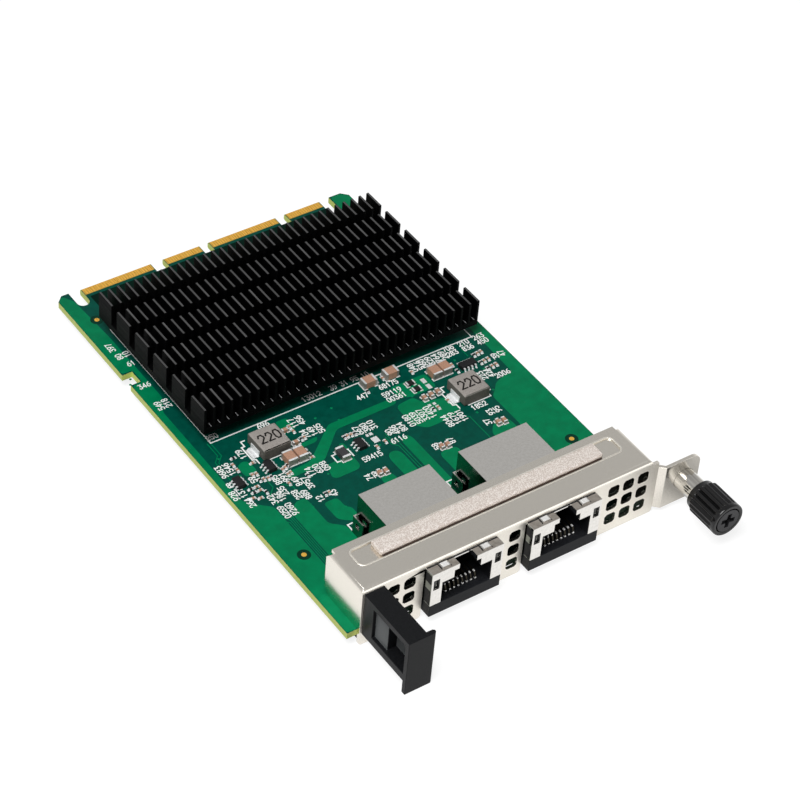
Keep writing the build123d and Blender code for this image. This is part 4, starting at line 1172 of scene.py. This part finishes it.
@dataclass
class Faceplate:
    """The bent sheet at the front with its gasket, pull tab and hidden screws.

    Attributes:
        feet: Middles of the feet's screws in mm.
        top: Height of the sheet's top face in mm.
        recess: Length and width of the gasket's recess in mm.
        recess_y: Middle of the recess along the card in mm.
        coined: Half width, height and root of the coined edge round the recess in mm.
        coined_path: How much larger than the recess its path is, and the path's corner radius, in mm.
        inner: Half width, front and top of the space under the sheet in mm.
        pocket_x: A place between the pull tab's left face and the floor of its pocket in mm.
        foam_powers: Powers of the gasket's section across and upwards, smaller for squarer.
        foam_wave: Height of the gasket's waves as a share of its size, and their two rates along it.
        glue: Spare length, width and height of the dark strip painted as shadow under the gasket's front, in mm.
    """

    feet: tuple[tuple[float, float], ...] = ((-32.1, -108.8), (32.1, -108.8))
    top: float = 11.985
    recess: tuple[float, float] = (64.0, 4.6)
    recess_y: float = -107.748
    coined: tuple[float, float, float] = (0.2, 0.09, 0.05)
    coined_path: tuple[float, float] = (0.36, 1.38)
    inner: tuple[float, float, float] = (34.95, -115.15, 11.25)
    pocket_x: float = -34.8
    foam_powers: tuple[float, float] = (0.32, 0.55)
    foam_wave: tuple[float, float, float] = (0.012, 41.0, 17.0)
    glue: tuple[float, float, float] = (0.8, 0.36, 0.54)

    def shade(self, sheet: bpy.types.Object) -> None:
        """Paints shade on every face under the sheet with the dark inner finish, and gives the front between the jacks
        the satin one.

        Args:
            sheet: The softened faceplate.
        """
        middles, normals = face_table(sheet)
        x, y, z = middles.T
        half, front, top = self.inner
        # Painted shade: every face under the cover.
        refinish(sheet, SHADED_INNER_STEEL, (np.abs(x) < half) & (y > front) & (z < top))
        refinish(sheet, SATIN_STEEL, (np.abs(x) < half) & (normals[:, 1] < -SQUARE_ON))

    def gasket(self) -> None:
        """Builds the foam strip: a boxy oval section carried along X, pinched at both ends and a little wavy.

        The section is a superellipse, y = a sign(cos) |cos|^e and z likewise with sin, scaled at each x, which runs
        from -1 to 1, by (1 - |x|^60)^(1/24), so that the ends close in a rounded wall.
        """
        low, high = (np.array(corner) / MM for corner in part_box("gasket_strip"))
        middle, half = (low + high) / 2, (high - low) / 2
        along = np.sin(np.linspace(-1, 1, 181) * np.pi / 2)
        pinch = np.clip(1 - np.abs(along) ** 60, 0.0, None) ** (1 / 24)
        angle = np.linspace(0, 2 * np.pi, 36, endpoint=False)
        across, upward = np.cos(angle), np.sin(angle)
        y, z = (np.sign(part) * np.abs(part) ** power for part, power in zip((across, upward), self.foam_powers))
        swell, quick, slow = self.foam_wave
        wave = 1 - swell * (1 + np.sin(along[:, None] * quick + 2 * y) * np.cos(along[:, None] * slow))
        points = np.stack((np.repeat(along[:, None] * half[0], len(angle), axis=1),
                           half[1] * pinch[:, None] * y * wave,
                           half[2] * pinch[:, None] * z * np.where(z > 0, wave, 1)), axis=-1) + middle
        strip = make_piece("gasket_foam_strip", [grid(points, False)], FABRIC, smooth=True)
        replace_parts(strip, "gasket_strip")
        # Painted shadow: a dark strip along the gasket's lower front edge.
        spare, width, height = self.glue
        edge = boxes((middle[0], low[1] - FILM, low[2] + height / 2), (2 * half[0] - spare, width, height))
        make_piece("gasket_painted_shadow", [edge], GASKET_SHADOW, bevel=0.08)

    def bead(self) -> None:
        """Raises the coined edge round the gasket's recess: a half round carried about a rounded rectangle."""
        half, height, root = self.coined
        angle = np.linspace(0, np.pi, 9)
        section = [(half * math.cos(a), height * math.sin(a)) for a in angle] + [(-half, -root), (half, -root)]
        length, width = self.recess
        larger, radius = self.coined_path
        path = round_corners(length + larger, width + larger, radius) + (0.0, self.recess_y)
        make_piece("recess_coined_edge", [hoop(path, section, self.top)], SATIN_STEEL, smooth=True)

    def build(self) -> None:
        """Makes the faceplate's pieces."""
        self.bead()
        self.shade(soften("faceplate", "faceplate_sheet", PLATED_STEEL, 0.12))
        self.gasket()
        tab = soften("pull_tab", "pull_tab_moulding", BLACK_NYLON, 0.28)
        middles, normals = face_table(tab)
        inside = (middles[:, 0] > self.pocket_x) & (middles[:, 1] < self.inner[1])
        # Painted light: the pocket's floor is lighter.
        refinish(tab, LIT_POCKET_NYLON, (normals[:, 0] < -SQUARE_ON) & inside)
        places = np.array([(x, y, BOARD_UNDER) for x, y in self.feet])
        Screws("faceplate", places, radius=1.9, height=1.1).build()


@dataclass
class NetworkJack:
    """One shielded network jack.

    Attributes:
        side: Left or right, as the CAD nodes are named.
        x: Middle across the card in mm.
        rows: Distances of the pin rows from the board's front edge in mm.
        pitch: Pin spacing in mm.
        lens_back: How far the light pipes stand back in mm.
        half: Half the jack's width in mm.
        front: Front of the shield in mm.
        top: Top of the shield in mm.
        wires: Number, spacing, width and thickness of the contact wires in mm.
        wire_front: Place of the wires' front bend along the card and its height in mm.
        lens: Place from the middle, height, width and height of a light pipe's window in mm.
        wire_bends: Shift along the card, shift upwards and size of the painted glints on a wire's bends, in mm.
        wall_front: Side walls further back than this carry painted shade, in mm.
        side_windows: Place along the card, height above the board, length and height of the side windows in mm.
        window_depth: Thickness of the dark plate that a side window shows in mm.
        lens_rim: Width, distance and thickness of the dark rim round a light pipe in mm.
        finger: Place from the middle, place along the card and size of a raised finger in mm.
        slit: Distance from a finger, width, extra length and thickness of the slits beside it, black bars that show the
            housing and paint the shade in the slits, in mm.
        gap: Place along the card, spare width and length of the painted shadow line across the rear of the shield's
            top, in mm.
        fold: Place from the middle, place along the card and size of a dark plate painted on the shield's top as shade
            in its reflection, in mm.
        tip: Height, spare width, spare length and thickness of the painted glint on a finger's tip in mm.
        tails_in_row: Pin tails in each row.
        leg: Place from the middle and distance from the board's front edge of a shield's leg in mm.
    """

    side: str
    x: float
    rows: tuple[float, float] = (16.6, 19.1)
    pitch: float = 2.04
    lens_back: float = 0.45
    half: float = 8.6
    front: float = -118.2
    top: float = 10.585
    wires: tuple[int, float, float, float] = (8, 1.02, 0.36, 0.22)
    wire_front: tuple[float, float] = (-116.3, 1.885)
    lens: tuple[float, float, float, float] = (7.395, 7.435, 1.19, 2.4)
    wire_bends: tuple[tuple[float, float, tuple[float, float, float]], ...] = (
        (-0.18, 0.26, (0.46, 0.4, 0.44)), (0.5, 1.72, (0.4, 0.6, 0.34)))
    wall_front: float = -114.0
    side_windows: tuple[tuple[float, float, float, float], ...] = ((-117.05, 3.2, 1.9, 3.8), (-117.05, 8.15, 1.9, 2.3))
    window_depth: float = 0.06
    lens_rim: tuple[float, float, float] = (0.13, 0.06, 0.04)
    finger: tuple[float, float, float, float] = (4.9, -116.9, 2.0, 1.3)
    slit: tuple[float, float, float, float] = (0.12, 0.2, 0.4, 0.03)
    gap: tuple[float, float, float] = (-116.05, 0.3, 0.26)
    fold: tuple[float, float, float, float] = (5.3, -117.12, 6.3, 1.95)
    tip: tuple[float, float, float, float] = (0.3, 0.5, 0.15, 0.03)
    tails_in_row: int = 6
    leg: tuple[float, float] = (8.4, 20.9)

    def contacts(self) -> None:
        """Bends the contact wires: a ribbon about a path, half the thickness to each side, carried over the width.

        The path leaves the comb at the front, turns steeply up and runs back to the rear of the socket.
        """
        count, pitch, width, thickness = self.wires
        path = np.array([(0.3, 0.14), (0.0, 0.16), (-0.14, 0.3), (-0.06, 0.7), (0.12, 1.3), (0.32, 1.58),
                         (0.7, 1.7), (1.6, 1.68), (10.5, 1.1)]) + self.wire_front
        ahead = np.gradient(path, axis=0)
        aside = np.column_stack((-ahead[:, 1], ahead[:, 0])) / np.linalg.norm(ahead, axis=1)[:, None] * thickness / 2
        wire = sweep(np.vstack((path + aside, (path - aside)[::-1])), -width / 2, width / 2)
        spots = np.outer(np.arange(count) - (count - 1) / 2, (pitch, 0, 0)) + (self.x, 0, 0)
        # The wires' dark colour is painted shade from deep in the socket.
        piece = make_piece(f"{self.side}_jack_contact_wires", [repeat(wire, spots)], SHADED_WIRE,
                           bevel=0.05, smooth=True)
        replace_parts(piece, f"{self.side}_jack_contacts")
        y, z = self.wire_front
        # Painted glints on the wires' front and upper bends.
        bends = [boxes(spots + (0, y + back, z + up), size) for back, up, size in self.wire_bends]
        make_piece(f"{self.side}_jack_wire_glints", bends, PAINTED_GLINT, bevel=0.14, smooth=True)

    def windows(self) -> None:
        """Shows the black housing in the shield's side windows and round the light pipes, and paints shade in the top's
        slits and a shadow line across the rear of its top.
        """
        sides = [(self.x + sign * self.half, y, BOARD_TOP + z, self.window_depth, length, height) for sign in (-1, 1)
                 for y, z, length, height in self.side_windows]
        across, level, wide, high = self.lens
        rim, away, thick = self.lens_rim
        tall = high + 2 * rim
        frame_bars = ((-wide / 2 - away, 0, rim, tall), (wide / 2 + away, 0, rim, tall),
                      (0, -high / 2 - away, wide, rim), (0, high / 2 + away, wide, rim))
        rims = [(self.x + sign * across + dx, self.front, level + dz, sx, thick, sz) for sign in (-1, 1)
                for dx, dz, sx, sz in frame_bars]
        place, y, width, length = self.finger
        beside, narrow, longer, film = self.slit
        reach = width / 2 + beside
        slits = [(self.x + sign * place + edge * reach, y, self.top + FILM, narrow, length + longer, film)
                 for sign in (-1, 1) for edge in (-1, 1)]
        # Painted shadow: a dark line across the rear of the shield's top.
        gap_y, spare, gap_length = self.gap
        gap = [(self.x, gap_y, self.top + FILM, 2 * self.half - spare, gap_length, film)]
        table = np.array(sides + rims + slits + gap)
        make_piece(f"{self.side}_jack_openings_and_shade_lines", [boxes(table[:, :3], table[:, 3:])], JACK_PLASTIC_AND_PAINTED_SHADE)

    def flange(self) -> None:
        """Lays dark plates on the shield's top as painted shade in its reflection, and painted glints on its fingers'
        tips.
        """
        across, shade_y, wide, deep = self.fold
        # Painted reflection: dark plates on the shield's top.
        top_shades = np.array([(self.x + sign * across, shade_y, self.top + FILM / 2) for sign in (-1, 1)])
        make_piece(f"{self.side}_jack_top_shades", [boxes(top_shades, (wide, deep, FILM))], SHADED_JACK_TOP)
        place, y, width, length = self.finger
        rise, narrower, shorter, thick = self.tip
        # Painted glints on the fingers' tips.
        tips = np.array([(self.x + sign * place, y, self.top + rise) for sign in (-1, 1)])
        make_piece(f"{self.side}_jack_finger_glints", [boxes(tips, (width - narrower, length - shorter, thick))],
                   PAINTED_GLINT)

    def tails(self) -> None:
        """Adds the pin tails under the board, each in its cone of solder, with the rear row half a mm to the right."""
        count = self.tails_in_row
        spots = [(self.x + (i - (count - 1) / 2) * self.pitch + 0.5 * row, d)
                 for row, d in enumerate(self.rows) for i in range(count)]
        across, d = self.leg
        legs = [(self.x + side * across, d) for side in (-1, 1)]
        cone = lathe([(0.24, -1.35), (0.3, -1.3), (0.34, -0.75), (0.5, -0.3), (0.8, -0.04), (0.85, 0.0)], 16)
        wide = lathe([(0.4, -1.1), (0.55, -1.0), (0.7, -0.5), (1.1, -0.05), (1.2, 0.0)], 18)
        joints = [repeat(cone, standing(spots, BOARD_UNDER)), repeat(wide, standing(legs, BOARD_UNDER))]
        make_piece(f"{self.side}_jack_solder", joints, TIN, smooth=True)

    def lenses(self) -> None:
        """Sets the fronts of the light pipes back into their windows."""
        lens = soften(f"{self.side}_jack_light_pipes", f"{self.side}_jack_lenses", CLEAR_PLASTIC, 0.08)
        points = point_table(lens)
        depth = points[:, 1]
        near = 0.05 * MM  # Points no further than this from the foremost are the front.
        depth[depth < depth.min() + near] += self.lens_back * MM
        lens.data.vertices.foreach_set("co", points.ravel())

    def build(self) -> None:
        """Makes the jack's pieces."""
        can = soften(f"{self.side}_jack_shield", f"{self.side}_jack_can", JACK_STEEL, 0.13)
        middles, normals = face_table(can)
        # Painted shade: the rear side walls get a darker copy of the sheet.
        refinish(can, SHADED_JACK_WALL, (np.abs(normals[:, 0]) > SQUARE_ON) & (middles[:, 1] > self.wall_front))
        soften(f"{self.side}_jack_housing", f"{self.side}_jack_insert", JACK_PLASTIC_AND_PAINTED_SHADE, 0.1)
        self.contacts()
        self.windows()
        self.flange()
        self.lenses()
        dress(EPOXY, f"{self.side}_jack_magnetics")
        self.tails()


@dataclass
class Thumbscrew:
    """The captive thumbscrew with its sleeve, washer and knob.

    Attributes:
        x: Axis across the card in mm.
        z: Height of the axis in mm.
        grooves: Number of grooves round the grip.
        groove_depth: Depth of a groove in mm.
        thread: Outside radius, depth and pitch of the screw's thread in mm.
        thread_ends: Where the thread starts and stops along the card in mm.
        thread_fade: Length over which the thread rises at each end in mm.
        core: Radius of the tip inside the thread, as a share of the plain tip's.
    """

    x: float = 43.6
    z: float = 4.285
    grooves: int = 18
    groove_depth: float = 0.46
    thread: tuple[float, float, float] = (1.48, 0.28, 0.5)
    thread_ends: tuple[float, float] = (-115.05, -113.67)
    thread_fade: float = 0.4
    core: float = 0.76

    def about_axis(self, radius: np.ndarray, angle: np.ndarray, y: np.ndarray) -> np.ndarray:
        """Places rows of points round the screw's axis.

        Args:
            radius: Radius of each point in mm.
            angle: Angle of each column.
            y: Place of each row along the card in mm.

        Returns:
            Rows by columns by three.
        """
        return np.stack((self.x + radius * np.cos(angle), np.broadcast_to(y[:, None], radius.shape),
                         self.z + radius * np.sin(angle)), axis=-1)

    def knob(self) -> None:
        """Moulds the knob: a closed profile turned about the axis, with narrow grooves along the grip.

        Each row of the profile has a radius, a distance from the front face and the weight of the grooves. A groove
        takes depth times weight times ((1 + cos(n a)) / 2)^2 from the radius, so the lands are round.
        """
        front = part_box("thumbscrew_knob")[0].y / MM
        profile = np.array([
            (2.85, 9.3, 0), (3.15, 9.3, 0), (3.33, 9.2, 0), (3.4, 9.0, 0), (3.4, 8.15, 0), (3.46, 8.02, 0),
            (3.7, 7.98, 0.2), (3.84, 7.86, 0.6), (3.9, 7.6, 1), (3.9, 7.0, 1), (3.9, 4.4, 1), (3.9, 1.9, 1),
            (3.9, 1.45, 1), (3.9, 1.15, 0.6), (3.9, 0.95, 0), (3.9, 0.35, 0), (3.85, 0.14, 0), (3.74, 0.03, 0),
            (3.6, 0.0, 0), (3.2, 0.0, 0), (3.1, 0.04, 0), (2.97, 0.2, 0), (2.85, 0.42, 0), (2.85, 4.0, 0),
        ])
        angle = np.linspace(0, 2 * np.pi, 12 * self.grooves, endpoint=False)
        dip = (0.5 + 0.5 * np.cos(self.grooves * angle)) ** 2
        radius = profile[:, :1] - self.groove_depth * profile[:, 2:] * dip[None]
        grip = make_piece("thumbscrew_grip", [grid(self.about_axis(radius, angle, front + profile[:, 1]), True)],
                          BLACK_ACETAL, "thumbscrew_turning", smooth=True)
        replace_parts(grip, "thumbscrew_knob")

    def screw(self) -> None:
        """Cuts the thread: the plain tip of a copy of the screw goes thin, and a threaded sleeve takes its place.

        The sleeve's radius falls from the outside by depth times a triangle wave of y / pitch - a / (2 pi), and by
        the whole depth at both ends.
        """
        shank = soften("thumbscrew", "thumbscrew_shank", BLACK_OXIDE, 0.05)
        points = point_table(shank)
        tip = points[:, 1] > self.thread_ends[0] * MM
        axis = np.array((self.x, 0, self.z)) * MM
        points[tip] = (points[tip] - axis) * (self.core, 1, self.core) + axis
        shank.data.vertices.foreach_set("co", points.ravel())
        outside, depth, pitch = self.thread
        y = np.linspace(*self.thread_ends, 36)
        angle = np.linspace(0, 2 * np.pi, 28, endpoint=False)
        turn = (y[:, None] / pitch - angle[None] / (2 * np.pi)) % 1.0
        fade = np.clip(np.minimum(y - y[0], y[-1] - y) / self.thread_fade, 0, 1)[:, None]
        radius = outside - depth * (1 - fade * (1 - np.abs(2 * turn - 1)))
        make_piece("thumbscrew_thread", [grid(self.about_axis(radius, angle, y), False)], BLACK_OXIDE,
                   "thumbscrew_turning", smooth=True)

    def build(self) -> None:
        """Makes the thumbscrew's pieces."""
        soften("screw_sleeve", "thumbscrew_sleeve", BRIGHT_NICKEL, 0.12)
        dress(NATURAL_NYLON, "retaining_washer")
        self.screw()
        self.knob()


@dataclass
class Studio:
    """Camera, floor, lamps and the white room.

    Attributes:
        lens: Focal length in mm.
        sensor: Width of the image in the camera in mm.
        clip: Nearest and furthest distance that the camera sees in metres.
        eye: Place of the camera in mm.
        right: Direction of the image's right side.
        up: Direction of the image's top.
        back: Direction from the object to the camera.
        room: Level of the diffuse light that the room gives.
        overhead: Level of the room overhead in reflections, and the heights of the view, as sines, between which
            it sets in.
        floor_half: Half the floor's width in mm.
        floor_depth: Thickness of the floor in mm.
        paper: Linear grey of the floor in diffuse light.
        floor_glow: Level that the floor adds for the camera and in reflections.
        shade: Level of the darkest place of the floor's painted shadow in reflections, and where it starts and ends in
            metres.
        shade_place: Middle of that shade along X and Y in metres.
        aim: Point that the lamps look at in metres.
    """

    lens: float = 124.08966
    sensor: float = 36.0
    clip: tuple[float, float] = (0.01, 20.0)
    eye: tuple[float, float, float] = (-256.3690, -404.9588, 394.8944)
    right: tuple[float, float, float] = (0.822944, -0.5641649, 0.0669409)
    up: tuple[float, float, float] = (0.341707, 0.5856586, 0.7350105)
    back: tuple[float, float, float] = (-0.4538716, -0.5819983, 0.6747433)
    room: float = 0.15
    overhead: tuple[float, float, float] = (0.62, 0.2, 0.72)
    floor_half: float = 3000.0
    floor_depth: float = 10.0
    paper: float = 0.25
    floor_glow: float = 0.84
    shade: tuple[float, float, float] = (0.3, 0.004, 0.02)
    shade_place: tuple[float, float] = (0.049, -0.124)
    aim: tuple[float, float, float] = (0.0, -0.06, 0.0)

    def camera(self) -> None:
        """Sets the camera at the photograph's viewing angle."""
        data = bpy.data.cameras.new("camera")
        data.lens = self.lens
        data.sensor_width = self.sensor
        data.clip_start, data.clip_end = self.clip
        seen = bpy.data.objects.new("camera", data)
        columns = np.column_stack((self.right, self.up, self.back, np.array(self.eye) * MM))
        seen.matrix_world = Matrix(np.vstack((columns, (0, 0, 0, 1))).tolist())
        bpy.context.scene.collection.objects.link(seen)
        bpy.context.scene.camera = seen

    def watched(self, tree: bpy.types.NodeTree) -> bpy.types.NodeSocket:
        """Adds up camera, glossy and transmission rays, which all see the white background."""
        path = add_node(tree, "ShaderNodeLightPath", {}, {}).outputs
        first = add_node(tree, "ShaderNodeMath", {"operation": "ADD"},
                         {0: path["Is Camera Ray"], 1: path["Is Glossy Ray"]}).outputs[0]
        return add_node(tree, "ShaderNodeMath", {"operation": "ADD", "use_clamp": True},
                        {0: first, 1: path["Is Transmission Ray"]}).outputs[0]

    def floor(self) -> None:
        """Lays a pale floor that keeps a faint shadow and looks white to the camera and in reflections.

        In reflections the floor carries a painted shadow below the thumbscrew, where the knob and the ear shade it.
        """
        level = CAD_BOX[0].z / MM - FILM
        corners = self.floor_half * np.array([(-1, -1), (1, -1), (1, 1), (-1, 1)])
        points, faces = prism(corners, level - self.floor_depth, level)
        mesh = bpy.data.meshes.new("floor")
        mesh.from_pydata((points * MM).tolist(), [], faces)
        ground = bpy.data.objects.new("floor", mesh)
        bpy.context.scene.collection.objects.link(ground)
        material = bpy.data.materials.new("matt white paper")
        material.use_nodes = True
        tree = material.node_tree
        tree.nodes.clear()
        paper = add_node(tree, "ShaderNodeBsdfDiffuse", {}, {"Color": (self.paper,) * 3 + (1.0,)})
        place = add_node(tree, "ShaderNodeTexCoord", {}, {}).outputs["Object"]
        away = add_node(tree, "ShaderNodeVectorMath", {"operation": "DISTANCE"},
                        {0: place, 1: (*self.shade_place, level * MM)}).outputs["Value"]
        darkest, start, end = self.shade
        shade = add_node(tree, "ShaderNodeMapRange", {"interpolation_type": "SMOOTHSTEP"},
                         {0: away, 1: start, 2: end, 3: darkest, 4: self.floor_glow}).outputs[0]
        glossy = add_node(tree, "ShaderNodeLightPath", {}, {}).outputs["Is Glossy Ray"]
        level_seen = add_node(tree, "ShaderNodeMix", {}, {0: glossy, 2: self.floor_glow, 3: shade}).outputs[0]
        glow = add_node(tree, "ShaderNodeMath", {"operation": "MULTIPLY"}, {0: self.watched(tree), 1: level_seen})
        light = add_node(tree, "ShaderNodeEmission", {}, {"Strength": glow.outputs[0]})
        both = add_node(tree, "ShaderNodeAddShader", {}, {0: paper.outputs[0], 1: light.outputs[0]})
        add_node(tree, "ShaderNodeOutputMaterial", {}, {"Surface": both.outputs[0]})
        mesh.materials.append(material)

    def world(self) -> None:
        """Makes the room: white to the camera and in reflections, and a level fill for the rest.

        In reflections the room is greyer overhead.
        """
        world = bpy.data.worlds.new("white room")
        world.use_nodes = True
        tree = world.node_tree
        tree.nodes.clear()
        ray = add_node(tree, "ShaderNodeTexCoord", {}, {}).outputs["Generated"]
        height = add_node(tree, "ShaderNodeSeparateXYZ", {}, {0: ray}).outputs["Z"]
        level, start, end = self.overhead
        overhead = add_node(tree, "ShaderNodeMapRange", {"interpolation_type": "SMOOTHSTEP"},
                            {0: height, 1: start, 2: end, 3: 1.0, 4: level}).outputs[0]
        glossy = add_node(tree, "ShaderNodeLightPath", {}, {}).outputs["Is Glossy Ray"]
        seen = add_node(tree, "ShaderNodeMix", {}, {0: glossy, 2: 1.0, 3: overhead}).outputs[0]
        strength = add_node(tree, "ShaderNodeMix", {}, {0: self.watched(tree), 2: self.room, 3: seen}).outputs[0]
        light = add_node(tree, "ShaderNodeBackground", {}, {"Strength": strength})
        add_node(tree, "ShaderNodeOutputWorld", {}, {"Surface": light.outputs[0]})
        bpy.context.scene.world = world

    def lamp(self, name: str, place: tuple[float, float, float], size: float, power: float) -> None:
        """Hangs one square soft lamp that looks at the card's middle.

        Args:
            name: Name of the lamp.
            place: Place in metres.
            size: Side of the lamp in metres.
            power: Power in watts.
        """
        data = bpy.data.lights.new(name, "AREA")
        data.size = size
        data.energy = power
        hung = bpy.data.objects.new(name, data)
        toward = np.array(self.aim) - np.array(place)
        back = -toward / np.linalg.norm(toward)
        right = np.cross((0, 0, 1), back)
        right /= np.linalg.norm(right)
        columns = np.column_stack((right, np.cross(back, right), back, place))
        hung.matrix_world = Matrix(np.vstack((columns, (0, 0, 0, 1))).tolist())
        bpy.context.scene.collection.objects.link(hung)

    def build(self) -> None:
        """Sets up the studio."""
        self.camera()
        self.floor()
        self.world()
        self.lamp("key softbox", (-0.4, -0.26, 0.88), 0.5, 8.6)
        self.lamp("front softbox", (0.35, -0.95, 0.35), 0.6, 0.9)
        bpy.context.scene.view_settings.view_transform = "Standard"


def main() -> None:
    """Builds the card's sub-assemblies in order, then the studio."""
    logging.basicConfig(level=logging.INFO, format="%(message)s")
    PrintedBoard().build()
    HeatSink().build()
    Faceplate().build()
    NetworkJack("left", -JACK_X).build()
    NetworkJack("right", JACK_X).build()
    Thumbscrew().build()
    SmallParts().build()
    Studio().build()


if __name__ == "__main__":
    main()
